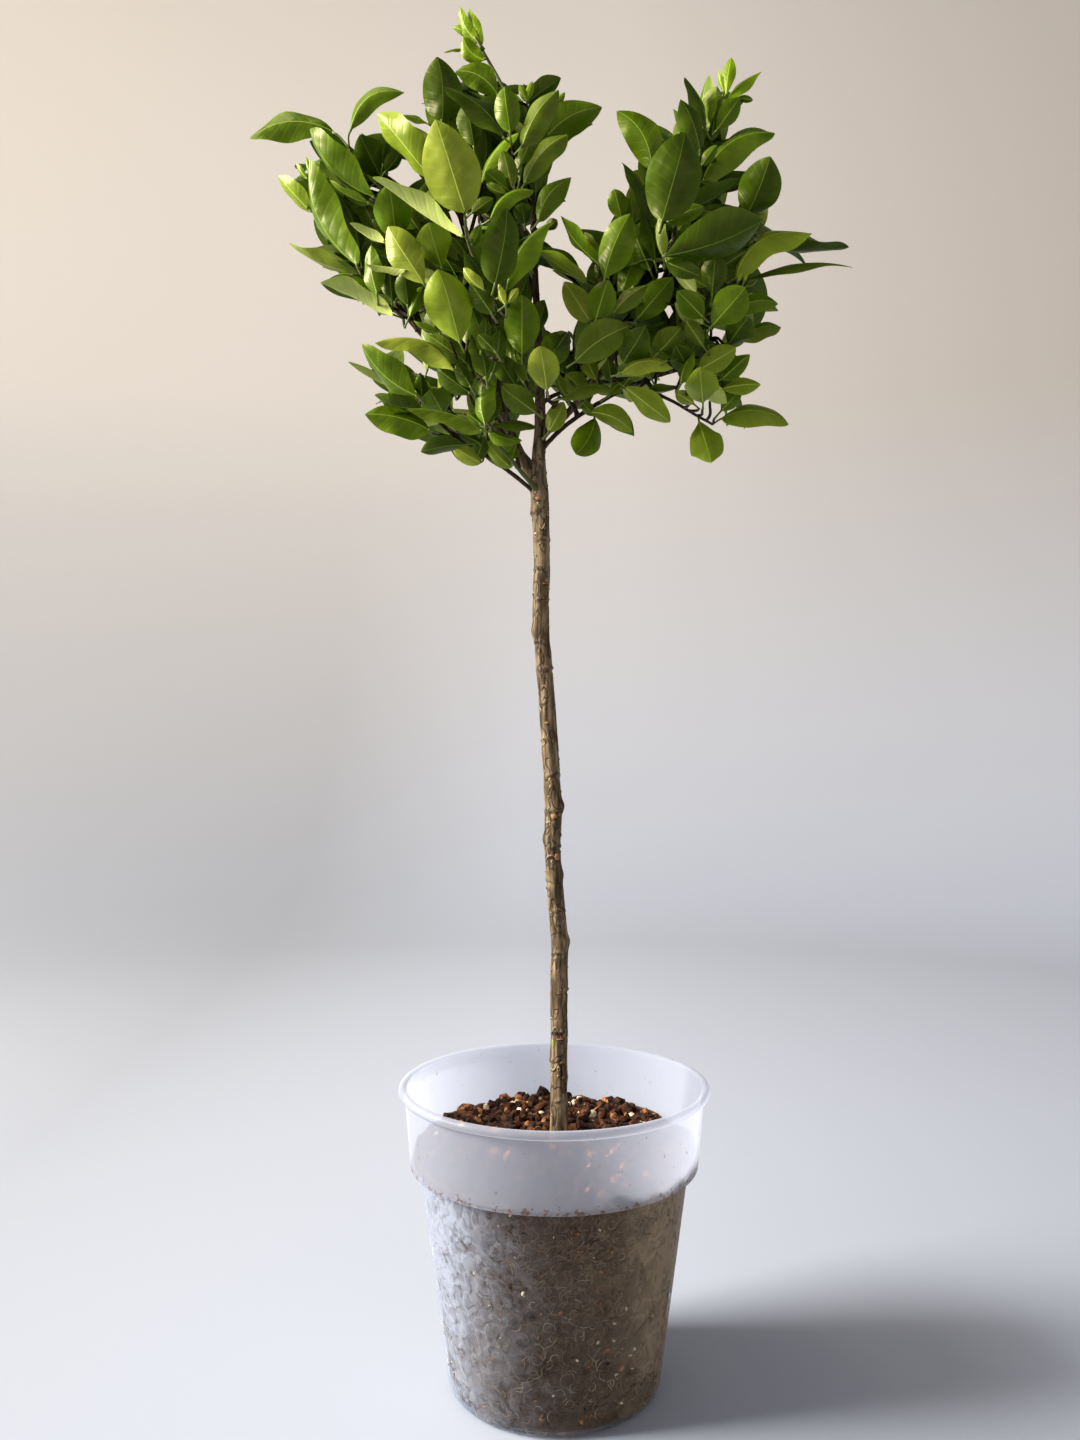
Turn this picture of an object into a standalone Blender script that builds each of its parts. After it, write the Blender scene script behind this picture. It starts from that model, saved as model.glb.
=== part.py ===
"""Standard lollipop topiary: a small clear-stemmed tree with a loose round head, in a frosted nursery pot.

Units are metres, +Z is up, and the origin is the middle of the pot's flat underside.
The head faces -Y. Sizes are written in millimetres times MM.
"""

import math

import bmesh
import bpy
import numpy as np
from mathutils import Vector, noise

MM = 0.001

# Driving dimensions -------------------------------------------------------------------------------

CLEARANCE = 0.3 * MM  # left between two pieces that touch
SHARP_EDGE = math.radians(40)  # an edge that bends more than this is shaded sharp

POT_RIM_RADIUS = 95 * MM
POT_HEIGHT = 184 * MM
POT_BEAD_RADIUS = 2.7 * MM  # half the thickness of the rolled rim
POT_COLLAR_TOP_RADIUS = 91.3 * MM
POT_COLLAR_FOOT_RADIUS = 87.6 * MM
POT_STEP_HEIGHT = 136 * MM  # where the collar steps in to the body
POT_STEP_DROP = 2 * MM
POT_BODY_TOP_RADIUS = 81.8 * MM
POT_FOOT_RADIUS = 65.2 * MM
POT_FOOT_CORNER = 8 * MM  # round between the body and the underside
POT_WALL = 1.5 * MM
POT_SEGMENTS = 28
POT_CORNER_DEGREES = (-45, 0)  # points on the corner round, counted up from straight down at -90
POT_BEAD_DEGREES = (-70, -15, 40, 95, 150)  # points round the bead, from outside below to inside
DRAIN_HOLES = 8
DRAIN_HOLE_RADIUS = 4.5 * MM
DRAIN_HOLE_CIRCLE = 46 * MM
DRAIN_HOLE_SIDES = 8
DRILL_LENGTH = 9 * MM

SOIL_SEAT_HEIGHT = 148 * MM  # flat place that the trunk stands on
SOIL_SEAT_RADIUS = 11 * MM
SOIL_WALL_HEIGHT = 144.5 * MM
SOIL_TILT = 4.5 * MM  # the mix lies higher at the back than at the front
SOIL_MOUND = 5 * MM
SOIL_FRONT_MOUND = 0.6  # share of the mound that the front half keeps
SOIL_RING_SHARES = (1.0, 0.95, 0.68, 0.4)  # rings of points in the top of the mix, as shares of its edge
SOIL_LUMP = 1.6 * MM
SOIL_GRAIN = 22 * MM

TRUNK_FOOT = (3 * MM, 0.0)
TRUNK_TOP = (-9.5 * MM, 0.0, 566 * MM)
TRUNK_FOOT_RADIUS = 6.2 * MM
TRUNK_TOP_RADIUS = 4.1 * MM
KNOB_LENGTH = 7 * MM
TRUNK_SIDES = 10
TRUNK_RING_SPACING = 15 * MM

BOUGH_SIDES = 6
THICK_BOUGHS = ("leader", "left_main")
THICK_BOUGH_SIDES = 8
BOUGH_RING_SPACING = 15 * MM
BOUGH_ROOM_SPACING = 4 * MM  # steps along a bough at which the masses beside it give way
BOUGH_ROOM = 1.2 * MM  # left between a bough and a mass that it only passes

MASS_ROUGHNESS = 0.3  # how far a mass departs from a smooth egg, as a share of its radius
MASS_GRAIN = 30 * MM  # size of its bumps
LOBE_WIDTH = math.radians(34)  # how wide the foliage swells towards each tip
LOBE_SHARE = 0.55  # and how far along the way to the tip

# Trunk: height, lean to the right and towards the back, and radius, all in millimetres.
TRUNK_ROUTE = [
    (156, 3.0, 0.0, 5.5),
    (190, 3.0, 0.0, 5.2),
    (245, 3.1, 0.5, 5.2),
    (270, 3.2, 1.0, 5.1),
    (320, -0.6, 1.0, 5.0),
    (357, -0.6, 0.0, 5.1),
    (418, -4.5, -1.5, 4.9),
    (467, -8.0, -1.0, 4.9),
    (504, -7.4, 0.0, 5.0),
    (545, -8.9, 0.0, 5.4),
    (560, -9.4, 0.0, 4.5),
]
# Knobs left by pruned shoots: height, direction in degrees (0 is right, -90 is the front), size in mm.
TRUNK_KNOBS = [
    (270, -20, 1.6),
    (311, 0, 0.9),
    (333, 180, 1.2),
    (353, -10, 1.8),
    (460, 190, 1.3),
    (534, -130, 1.4),
]

# Boughs: the limb each grows from, the mass it ends in, its radius at both ends and its route, in mm.
BOUGHS = {
    "leader": (
        "trunk", "top", 4.0, 1.6,
        [(-9.5, 0, 566.3), (-8.6, 0, 587), (-9, 3, 625), (-12, 5, 690), (-13, 5, 732)],
    ),
    "left_main": (
        "trunk", "top_left", 3.4, 2.0,
        [(-9.5, 0, 549), (-21, 3, 570), (-33, 7, 603), (-37, 8, 655), (-54, 4, 705), (-66, 0, 748)],
    ),
    "left_low": (
        "trunk", "left_low", 1.4, 1.2,
        [(-9, 0, 543), (-24, -3, 555), (-40, -6, 566), (-56, -8, 576)],
    ),
    "left_mid": (
        "trunk", "front_centre", 1.6, 1.2,
        [(-9.2, -2, 545), (-25, -17, 561), (-38, -36, 577), (-50, -70, 630)],
    ),
    "left_outer": (
        "left_main", "left_middle", 1.6, 1.2,
        [(-33, 7, 604), (-50, 4, 619), (-76, 0, 637), (-92, -3, 654)],
    ),
    "left_high": (
        "left_main", "left_upper", 1.7, 1.3,
        [(-48, 5, 690), (-64, 3, 706), (-84, 0, 722), (-94, -2, 729)],
    ),
    "right_upper": (
        "leader", "right_upper", 2.4, 1.7,
        [(-8.6, 1, 580), (9, 6, 596), (34, 16, 629), (51, 20, 656), (62, 14, 690), (72, 6, 714)],
    ),
    "right_low": (
        "leader", "right_low", 1.5, 1.2,
        [(-8.8, 0, 571), (8, -5, 586), (32, -4, 602), (56, -5, 613), (76, -7, 619)],
    ),
    "right_mid": (
        "right_upper", "right_middle", 1.4, 1.1,
        [(29, 14, 622), (36, 4, 632), (40, -8, 644)],
    ),
    "right_outer": (
        "right_upper", "right_outer", 1.4, 1.0,
        [(61, 15, 686), (80, 9, 688), (112, 2, 691), (120, 0, 692)],
    ),
    "front_low": (
        "leader", "centre_low", 1.5, 1.1,
        [(-8.6, 0, 584), (-4, -10, 590), (3, -30, 596)],
    ),
    "front_right": (
        "right_upper", "front_right", 1.5, 1.1,
        [(60, 16, 684), (62, -4, 687), (65, -28, 690), (68, -58, 692)],
    ),
    "back_low": (
        "leader", "back_low", 1.5, 1.1,
        [(-8.8, 2, 600), (0, 16, 609), (10, 34, 617), (16, 48, 621)],
    ),
    "back_left_low": (
        "trunk", "back_left_low", 1.5, 1.1,
        [(-8, 0, 548), (-11, 18, 563), (-27, 38, 586), (-44, 56, 604)],
    ),
    "back_left": (
        "left_main", "back_left", 1.6, 1.2,
        [(-36, 8, 636), (-52, 26, 652), (-72, 46, 670), (-84, 60, 679)],
    ),
    "back_top": (
        "leader", "back_top", 1.6, 1.2,
        [(-11, 4, 668), (-18, 24, 690), (-28, 46, 712), (-35, 60, 726)],
    ),
    "back_right": (
        "right_upper", "back_right", 1.6, 1.2,
        [(50, 20, 654), (60, 38, 672), (70, 56, 692), (75, 66, 700)],
    ),
    "tip_shoot": (
        "top", "tip_tuft", 1.1, 0.9,
        [(-25, -2, 776), (-31, -1, 793), (-44, 0, 817)],
    ),
}

# Masses of foliage: centre, half width, half depth and half height, and the tips they reach, in mm.
MASSES = {
    "tip_tuft": (
        (-51, 0, 824), (9, 9, 12),
        [(-56, 0, 842), (-64, 0, 824)],
    ),
    "top_left": (
        (-56, -8, 774), (27, 38, 34),
        [(-72, -6, 812), (-50, 2, 808), (-78, -34, 772)],
    ),
    "top": (
        (-10, 4, 758), (29, 40, 35),
        [(29, 4, 783), (4, 4, 798), (14, 34, 782), (10, -6, 738)],
    ),
    "left_upper": (
        (-116, -4, 732), (38, 42, 36),
        [(-186, 0, 767), (-93, 0, 792), (-168, -4, 738), (-146, 38, 752)],
    ),
    "left_middle": (
        (-104, -8, 679), (41, 46, 31),
        [(-162, -6, 697), (-143, -6, 673), (-136, -54, 688)],
    ),
    "left_low": (
        (-78, -20, 600), (38, 44, 31),
        [(-124, -14, 621), (-115, -14, 592), (-78, -16, 566), (-96, -72, 602)],
    ),
    "front_centre": (
        (-53, -84, 670), (35, 36, 58),
        [(-64, -92, 736), (-50, -140, 690), (-88, -112, 640)],
    ),
    "centre_low": (
        (8, -46, 602), (36, 37, 29),
        [(45, -46, 574), (13, -46, 560), (12, -100, 612)],
    ),
    "right_middle": (
        (41, -24, 664), (35, 36, 36),
        [(5, -16, 708), (37, -16, 724), (76, -30, 668)],
    ),
    "right_low": (
        (98, -8, 634), (37, 45, 44),
        [(144, -4, 589), (139, -2, 652), (94, -6, 563), (108, -66, 620)],
    ),
    "right_outer": (
        (141, 0, 692), (34, 19, 12),
        [(182, 0, 698), (183, 2, 685)],
    ),
    "right_upper": (
        (92, 0, 744), (41, 45, 46),
        [(39, 0, 780), (109, 0, 812), (127, 0, 804), (135, 0, 769), (137, 0, 746)],
    ),
    "front_right": (
        (70, -80, 692), (33, 36, 42),
        [(76, -134, 704), (104, -104, 676), (72, -92, 744)],
    ),
    "back_low": (
        (26, 76, 628), (42, 40, 34),
        [(40, 128, 616), (66, 92, 610)],
    ),
    "back_left_low": (
        (-54, 76, 618), (39, 38, 32),
        [(-70, 124, 606), (-98, 84, 610)],
    ),
    "back_left": (
        (-92, 84, 696), (41, 38, 40),
        [(-116, 132, 706), (-138, 92, 700)],
    ),
    "back_top": (
        (-44, 86, 742), (44, 42, 44),
        [(-38, 144, 752), (-46, 96, 794)],
    ),
    "back_right": (
        (84, 86, 706), (43, 42, 46),
        [(96, 142, 712), (132, 96, 700), (84, 92, 764)],
    ),
}
FINE_MASS_SIZE = 25 * MM  # masses smaller than this take a coarser mesh
MASS_FINENESS = 3  # times that the mesh of a mass is divided
SMALL_MASS_FINENESS = 2

COLOURS = {
    "pot": ((0.62, 0.64, 0.68), 0.45),
    "root_ball": ((0.05, 0.03, 0.02), 0.95),
    "bark": ((0.11, 0.07, 0.04), 0.85),
    "twig": ((0.07, 0.06, 0.03), 0.7),
    "foliage": ((0.09, 0.17, 0.02), 0.45),
}


# Helpers ------------------------------------------------------------------------------------------


def clear_scene():
    for old in list(bpy.data.objects):
        bpy.data.objects.remove(old, do_unlink=True)


def make_material(name, colour_name):
    colour, roughness = COLOURS[colour_name]
    material = bpy.data.materials.new(name)
    material.use_nodes = True
    shader = material.node_tree.nodes["Principled BSDF"]
    shader.inputs["Base Color"].default_value = (*colour, 1.0)
    shader.inputs["Roughness"].default_value = roughness
    shader.inputs["Metallic"].default_value = 0.0
    return material


def add_solid(name, bm, colour_name, cutter=False):
    """Turns a closed bmesh into an object. A cutter is kept out of the model and of a render."""
    bmesh.ops.recalc_face_normals(bm, faces=bm.faces)
    mesh = bpy.data.meshes.new(name)
    bm.to_mesh(mesh)
    bm.free()
    mesh.shade_smooth()
    mesh.set_sharp_from_angle(angle=SHARP_EDGE)
    solid = bpy.data.objects.new(name, mesh)
    bpy.context.scene.collection.objects.link(solid)
    if cutter:
        solid.hide_render = True
        solid.display_type = "WIRE"
    else:
        solid.data.materials.append(make_material(name, colour_name))
    return solid


def cut(solid, cutter):
    """Takes the cutter's shape out of the solid."""
    modifier = solid.modifiers.new(f"less {cutter.name}", "BOOLEAN")
    modifier.operation = "DIFFERENCE"
    modifier.solver = "EXACT"
    modifier.object = cutter


def smooth_route(points, spacing):
    """Points about one spacing apart on a smooth curve through the route's own points."""
    points = np.array(points, float)
    ends = np.vstack([2 * points[0] - points[1], points, 2 * points[-1] - points[-2]])
    curve = []
    for i in range(len(points) - 1):
        before, start, end, after = ends[i : i + 4]
        steps = max(1, round(np.linalg.norm(end[:3] - start[:3]) / spacing))
        for t in np.arange(steps) / steps:
            curve.append(
                0.5 * (2 * start + (end - before) * t + (2 * before - 5 * start + 4 * end - after) * t**2
                       + (3 * start - before - 3 * end + after) * t**3)
            )
    return np.array(curve + [points[-1]])


def sweep(route, radii, sides, first_way=None, last_way=None, bump=None):
    """A closed tube along the route. bump(point, outward) gives a little extra radius in one direction."""
    ways = np.gradient(route, axis=0)
    if first_way is not None:
        ways[0] = first_way
    if last_way is not None:
        ways[-1] = last_way
    ways /= np.linalg.norm(ways, axis=1)[:, None]
    across = np.cross(ways[0], (0.0, 1.0, 0.0))
    bm = bmesh.new()
    rings = []
    for point, way, radius in zip(route, ways, radii):
        across = across - way * across.dot(way)
        across /= np.linalg.norm(across)
        beside = np.cross(way, across)
        ring = []
        for side in range(sides):
            turn = math.tau * side / sides
            outward = across * math.cos(turn) + beside * math.sin(turn)
            reach = radius + (bump(point, outward) if bump else 0.0)
            ring.append(bm.verts.new(point + outward * reach))
        rings.append(ring)
    for lower, upper in zip(rings, rings[1:]):
        for side in range(sides):
            nxt = (side + 1) % sides
            bm.faces.new((lower[side], lower[nxt], upper[nxt], upper[side]))
    bm.faces.new(rings[0][::-1])
    bm.faces.new(rings[-1])
    return bm


def offset_profile(profile, distance):
    """The profile, which runs from the axis outwards and up, moved inwards with mitred corners."""
    profile = np.array(profile, float)
    ways = np.diff(profile, axis=0)
    ways /= np.linalg.norm(ways, axis=1)[:, None]
    inward = np.column_stack([-ways[:, 1], ways[:, 0]])
    moved = []
    for i, point in enumerate(profile):
        a = inward[max(i - 1, 0)]
        b = inward[min(i, len(inward) - 1)]
        moved.append(point + distance * (a + b) / (1 + a.dot(b)))
    moved[0][0] = 0.0
    return [tuple(point) for point in moved]


def turn_profile(profile, segments, lift=None):
    """A closed solid turned about Z from a profile of (radius, height) that begins and ends on the axis.

    lift(x, y, height) may give a point a height of its own.
    """
    bm = bmesh.new()
    rings = []
    for radius, height in profile:
        count = segments if radius > 1e-9 else 1
        ring = []
        for step in range(count):
            turn = math.tau * step / segments
            x, y = radius * math.cos(turn), radius * math.sin(turn)
            ring.append(bm.verts.new((x, y, lift(x, y, height) if lift else height)))
        rings.append(ring)
    for lower, upper in zip(rings, rings[1:]):
        for step in range(segments):
            nxt = (step + 1) % segments
            corners = [lower[step % len(lower)], lower[nxt % len(lower)]]
            corners += [upper[nxt % len(upper)], upper[step % len(upper)]]
            bm.faces.new(list(dict.fromkeys(corners)))
    return bm


# Pot and root ball --------------------------------------------------------------------------------


def pot_outside():
    """Radius and height up the outside of the pot, from the middle of its underside to under the bead."""
    corner_centre = POT_FOOT_RADIUS - POT_FOOT_CORNER
    profile = [(0.0, 0.0), (corner_centre, 0.0)]
    for degrees in POT_CORNER_DEGREES:
        turn = math.radians(degrees)
        across = corner_centre + POT_FOOT_CORNER * math.cos(turn)
        profile.append((across, POT_FOOT_CORNER * (1 + math.sin(turn))))
    profile.append((POT_BODY_TOP_RADIUS, POT_STEP_HEIGHT - POT_STEP_DROP))
    profile.append((POT_COLLAR_FOOT_RADIUS, POT_STEP_HEIGHT))
    profile.append((POT_COLLAR_TOP_RADIUS, POT_HEIGHT - 2 * POT_BEAD_RADIUS))
    return profile


def pot_bead():
    """The rolled rim, from under its outer side, over the top and down its inner side."""
    centre = (POT_RIM_RADIUS - POT_BEAD_RADIUS, POT_HEIGHT - POT_BEAD_RADIUS)
    points = []
    for degrees in POT_BEAD_DEGREES:
        turn = math.radians(degrees)
        across = centre[0] + POT_BEAD_RADIUS * math.cos(turn)
        points.append((across, centre[1] + POT_BEAD_RADIUS * math.sin(turn)))
    return points


def build_pot():
    outside = pot_outside()
    inside = offset_profile(outside, POT_WALL)
    bm = turn_profile(outside + pot_bead() + inside[::-1], POT_SEGMENTS)
    pot = add_solid("pot", bm, "pot")
    drill = bmesh.new()
    for hole in range(DRAIN_HOLES):
        turn = math.tau * (hole + 0.5) / DRAIN_HOLES
        made = bmesh.ops.create_cone(
            drill, cap_ends=True, segments=DRAIN_HOLE_SIDES,
            radius1=DRAIN_HOLE_RADIUS, radius2=DRAIN_HOLE_RADIUS, depth=DRILL_LENGTH,
        )
        place = Vector((DRAIN_HOLE_CIRCLE * math.cos(turn), DRAIN_HOLE_CIRCLE * math.sin(turn), 0.0))
        bmesh.ops.translate(drill, verts=made["verts"], vec=place)
    cut(pot, add_solid("drain_hole_drills", drill, "pot", cutter=True))
    return pot


def soil_height(x, y):
    """The top of the mix: a low mound round the trunk, higher at the back, uneven between."""
    out = min(1.0, math.hypot(x, y) / POT_BODY_TOP_RADIUS)
    lump = SOIL_LUMP * noise.noise(Vector((x, y, 0.0)) / SOIL_GRAIN)
    mound = SOIL_MOUND * (1 - out**2) * (1.0 if y > 0 else SOIL_FRONT_MOUND)
    return SOIL_WALL_HEIGHT + SOIL_TILT * y / POT_BODY_TOP_RADIUS + mound + lump


def build_root_ball():
    """The moist mix, moulded by the pot. Only its top is uneven, apart from the seat under the trunk."""
    side = offset_profile(pot_outside(), POT_WALL + CLEARANCE)[:-1]
    edge = side[-1][0]
    top = [(edge * share, SOIL_WALL_HEIGHT) for share in SOIL_RING_SHARES]
    seat = [(SOIL_SEAT_RADIUS, SOIL_SEAT_HEIGHT), (0.0, SOIL_SEAT_HEIGHT)]

    def lift(x, y, height):
        return soil_height(x, y) if height == SOIL_WALL_HEIGHT else height

    return add_solid("root_ball", turn_profile(side + top + seat, POT_SEGMENTS, lift), "root_ball")


# Trunk and boughs ---------------------------------------------------------------------------------


def trunk_line():
    """Centre points and radii from the flat cut at the soil to the flat cut under the leader."""
    foot = SOIL_SEAT_HEIGHT + CLEARANCE
    marks = [(*TRUNK_FOOT, foot, TRUNK_FOOT_RADIUS)]
    marks += [(x * MM, y * MM, z * MM, r * MM) for z, x, y, r in TRUNK_ROUTE]
    marks += [(*TRUNK_TOP, TRUNK_TOP_RADIUS)]
    line = smooth_route(marks, TRUNK_RING_SPACING)
    return line[:, :3], line[:, 3]


def trunk_bump(point, outward):
    """Extra radius near each knob."""
    extra = 0.0
    for height, degrees, size in TRUNK_KNOBS:
        turn = math.radians(degrees)
        facing = outward[0] * math.cos(turn) + outward[1] * math.sin(turn)
        nearness = math.exp(-(((point[2] - height * MM) / KNOB_LENGTH) ** 2))
        extra += size * MM * nearness * max(0.0, facing) ** 2
    return extra


def trunk_shape(grow=0.0):
    route, radii = trunk_line()
    up = (0.0, 0.0, 1.0)
    return sweep(route, radii + grow, TRUNK_SIDES, up, up, trunk_bump)


def bough_line(name, spacing=BOUGH_RING_SPACING):
    _parent, _mass, foot_radius, tip_radius, route = BOUGHS[name]
    line = smooth_route(np.array(route, float) * MM, spacing)
    return line, np.linspace(foot_radius, tip_radius, len(line)) * MM


def bough_shape(name, grow=0.0):
    """One tapering limb. A grown copy, a little fatter and longer, cuts the room that the limb needs."""
    line, radii = bough_line(name)
    foot_way = (line[0] - line[1]) / np.linalg.norm(line[0] - line[1])
    tip_way = (line[-1] - line[-2]) / np.linalg.norm(line[-1] - line[-2])
    line = np.vstack([line[0] + grow * foot_way, line[1:-1], line[-1] + grow * tip_way])
    first_way = (0.0, 0.0, 1.0) if name == "leader" else None
    sides = THICK_BOUGH_SIDES if name in THICK_BOUGHS else BOUGH_SIDES
    return sweep(line, radii + grow, sides, first_way)


def build_limbs():
    """The trunk and the boughs, each bough cut to sit on the limb that it grows from."""
    solids = {"trunk": add_solid("trunk", trunk_shape(), "bark")}
    cutters = {"trunk": add_solid("room_for_trunk", trunk_shape(CLEARANCE), "bark", cutter=True)}
    for name in BOUGHS:
        solids[name] = add_solid(f"bough_{name}", bough_shape(name), "twig")
        cutters[name] = add_solid(f"room_for_{name}", bough_shape(name, CLEARANCE), "twig", cutter=True)
    for name, (parent, *_rest) in BOUGHS.items():
        if name != "leader" and parent in cutters:
            cut(solids[name], cutters[parent])
    return cutters


# Masses of foliage --------------------------------------------------------------------------------


def mean_radius(name):
    return sum(MASSES[name][1]) / 3 * MM


def dividing_planes(name):
    """The planes, as (normal, distance), that part a mass from its neighbours and passing limbs."""
    centre = np.array(MASSES[name][0]) * MM
    planes = []
    for other in MASSES:
        if other == name:
            continue
        between = np.array(MASSES[other][0]) * MM - centre
        apart = np.linalg.norm(between)
        share = (apart**2 + mean_radius(name) ** 2 - mean_radius(other) ** 2) / (2 * apart)
        planes.append((between / apart, share - CLEARANCE / 2))
    for bough, (parent, mass, *_rest) in BOUGHS.items():
        if name in (parent, mass):
            continue
        line, radii = bough_line(bough, BOUGH_ROOM_SPACING)
        for point, radius in zip(line, radii):
            between = point - centre
            apart = np.linalg.norm(between)
            planes.append((between / apart, apart - radius - BOUGH_ROOM))
    return planes


def lobe_swell(way, egg, to_tip):
    """How far the foliage swells in one direction on the way out to a tip."""
    out = np.linalg.norm(to_tip)
    turn = math.acos(np.clip(way.dot(to_tip) / out, -1, 1))
    nearness = max(0.0, 1 - turn / LOBE_WIDTH)
    return LOBE_SHARE * nearness * max(0.0, out - egg)


def mass_shape(name):
    """An uneven egg that swells to a point at each tip, kept on its own side of every dividing plane."""
    centre, halves, tips = MASSES[name]
    centre = np.array(centre) * MM
    halves = np.array(halves) * MM
    to_tips = [np.array(tip) * MM - centre for tip in tips]
    planes = dividing_planes(name)
    bm = bmesh.new()
    fineness = MASS_FINENESS if mean_radius(name) > FINE_MASS_SIZE else SMALL_MASS_FINENESS
    bmesh.ops.create_icosphere(bm, subdivisions=fineness, radius=1.0)
    ways = {vert: np.array(vert.co.normalized()) for vert in bm.verts}
    for vert, way in ways.items():
        egg = 1 / np.linalg.norm(way / halves)
        lump = noise.noise(Vector(centre + way * egg) / MASS_GRAIN)
        reach = egg * (1 + MASS_ROUGHNESS * lump) + sum(lobe_swell(way, egg, to_tip) for to_tip in to_tips)
        for normal, distance in planes:
            facing = way.dot(normal)
            if facing > 1e-6:
                reach = min(reach, distance / facing)
        vert.co = Vector(centre + way * reach)
    free = set(bm.verts)
    for to_tip in to_tips:
        nearest = max(free, key=lambda vert: ways[vert].dot(to_tip))
        free.discard(nearest)
        nearest.co = Vector(centre + to_tip)
    return bm


def build_masses(cutters):
    """Each mass, with a socket for every bough that ends or starts in it."""
    for name in MASSES:
        solid = add_solid(f"foliage_{name}", mass_shape(name), "foliage")
        for bough, (parent, mass, *_rest) in BOUGHS.items():
            if name in (parent, mass):
                cut(solid, cutters[bough])


def main():
    clear_scene()
    build_pot()
    build_root_ball()
    build_masses(build_limbs())


main()
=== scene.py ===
# %% [markdown]
# # A lollipop citrus in a frosted nursery pot
#
# The plant is a young standard: one bare stem, a loose round head of glossy leaves, and a translucent
# pot that shows its root ball. The solids of the model are already packed, so this lesson loads them as
# a fixed frame and grows the looks on them. Places and sizes are in millimetres here, and only Blender's
# own settings, such as a light's place or a node's distance, are in metres.

import math
import random

import bpy
import numpy as np
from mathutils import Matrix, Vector, noise


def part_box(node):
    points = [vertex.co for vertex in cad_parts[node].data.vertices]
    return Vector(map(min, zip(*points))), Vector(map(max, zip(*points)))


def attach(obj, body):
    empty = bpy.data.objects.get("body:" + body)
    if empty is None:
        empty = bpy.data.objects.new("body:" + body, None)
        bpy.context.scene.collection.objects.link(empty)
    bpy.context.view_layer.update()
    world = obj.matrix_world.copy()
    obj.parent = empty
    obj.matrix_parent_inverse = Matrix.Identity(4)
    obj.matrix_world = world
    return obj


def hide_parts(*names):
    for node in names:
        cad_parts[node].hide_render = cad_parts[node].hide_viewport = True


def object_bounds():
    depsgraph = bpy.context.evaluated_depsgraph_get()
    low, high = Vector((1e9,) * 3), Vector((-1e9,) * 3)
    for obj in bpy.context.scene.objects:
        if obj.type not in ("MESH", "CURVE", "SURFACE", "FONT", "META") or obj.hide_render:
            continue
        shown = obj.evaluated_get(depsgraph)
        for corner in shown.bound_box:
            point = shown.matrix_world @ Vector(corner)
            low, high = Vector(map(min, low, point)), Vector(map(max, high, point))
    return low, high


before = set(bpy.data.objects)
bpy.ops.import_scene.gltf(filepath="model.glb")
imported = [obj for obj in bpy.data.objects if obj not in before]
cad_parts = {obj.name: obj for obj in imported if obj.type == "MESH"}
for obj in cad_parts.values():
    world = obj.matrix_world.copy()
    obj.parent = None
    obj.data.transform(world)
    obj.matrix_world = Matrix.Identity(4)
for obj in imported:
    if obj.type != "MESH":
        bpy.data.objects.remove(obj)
cad_box = [list(corner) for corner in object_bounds()]
MM = 0.001
print("nodes:", len(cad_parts))

# %% [markdown]
# ## The camera
#
# The camera comes first, because leaves are easiest to place by where they show in the picture. It stands
# level with the bare stem, so it looks up a little at the leaves and down into the pot. `seen` turns a
# point of the picture and a depth into a place in the room.

# %% Camera and view points
VIEW_WIDTH = 1080
VIEW_HEIGHT = 1440
FOCAL_PX = 1234.8  # distance to the picture plane, in picture points
SENSOR_MM = 36.0
EYE = np.array([-8.6, -758.0, 405.7])


def seen(u, v, depth):
    """The place, in mm, that shows at picture point (u, v) and lies at this depth along +Y."""
    scale = (depth - EYE[1]) / FOCAL_PX
    return np.array([EYE[0] + (u - VIEW_WIDTH / 2) * scale, depth, EYE[2] + (VIEW_HEIGHT / 2 - v) * scale])


def shown(points):
    """The picture points at which places in mm show."""
    points = np.atleast_2d(points)
    scale = FOCAL_PX / (points[:, 1] - EYE[1])
    u = VIEW_WIDTH / 2 + (points[:, 0] - EYE[0]) * scale
    v = VIEW_HEIGHT / 2 - (points[:, 2] - EYE[2]) * scale
    return np.column_stack([u, v])


def set_down(name, data):
    """Puts an object that shows this data in the scene."""
    item = bpy.data.objects.new(name, data)
    bpy.context.scene.collection.objects.link(item)
    return item


camera = set_down("camera", bpy.data.cameras.new("camera"))
camera.data.sensor_width = SENSOR_MM
camera.data.lens = FOCAL_PX / VIEW_HEIGHT * SENSOR_MM
camera.data.clip_start = 0.05  # metres
camera.location = EYE * MM
camera.rotation_euler = (math.radians(90), 0, 0)
bpy.context.scene.camera = camera
bpy.context.scene.view_settings.view_transform = "Standard"
print("lens:", round(camera.data.lens, 2), "mm")

# %% [markdown]
# ## Heaps: many small shapes in one mesh
#
# Hundreds of leaves as hundreds of objects would be slow. A heap collects the points and faces of many
# small shapes, remembers which finish each face has, and becomes one mesh at the end.


# %% Heap and tube
TINY = 1e-9  # keeps a division from being by zero


def mesh_of(name, points, faces):
    """A mesh from points in mm and faces."""
    mesh = bpy.data.meshes.new(name)
    mesh.from_pydata((np.asarray(points, float) * MM).tolist(), [], faces)
    return mesh


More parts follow.
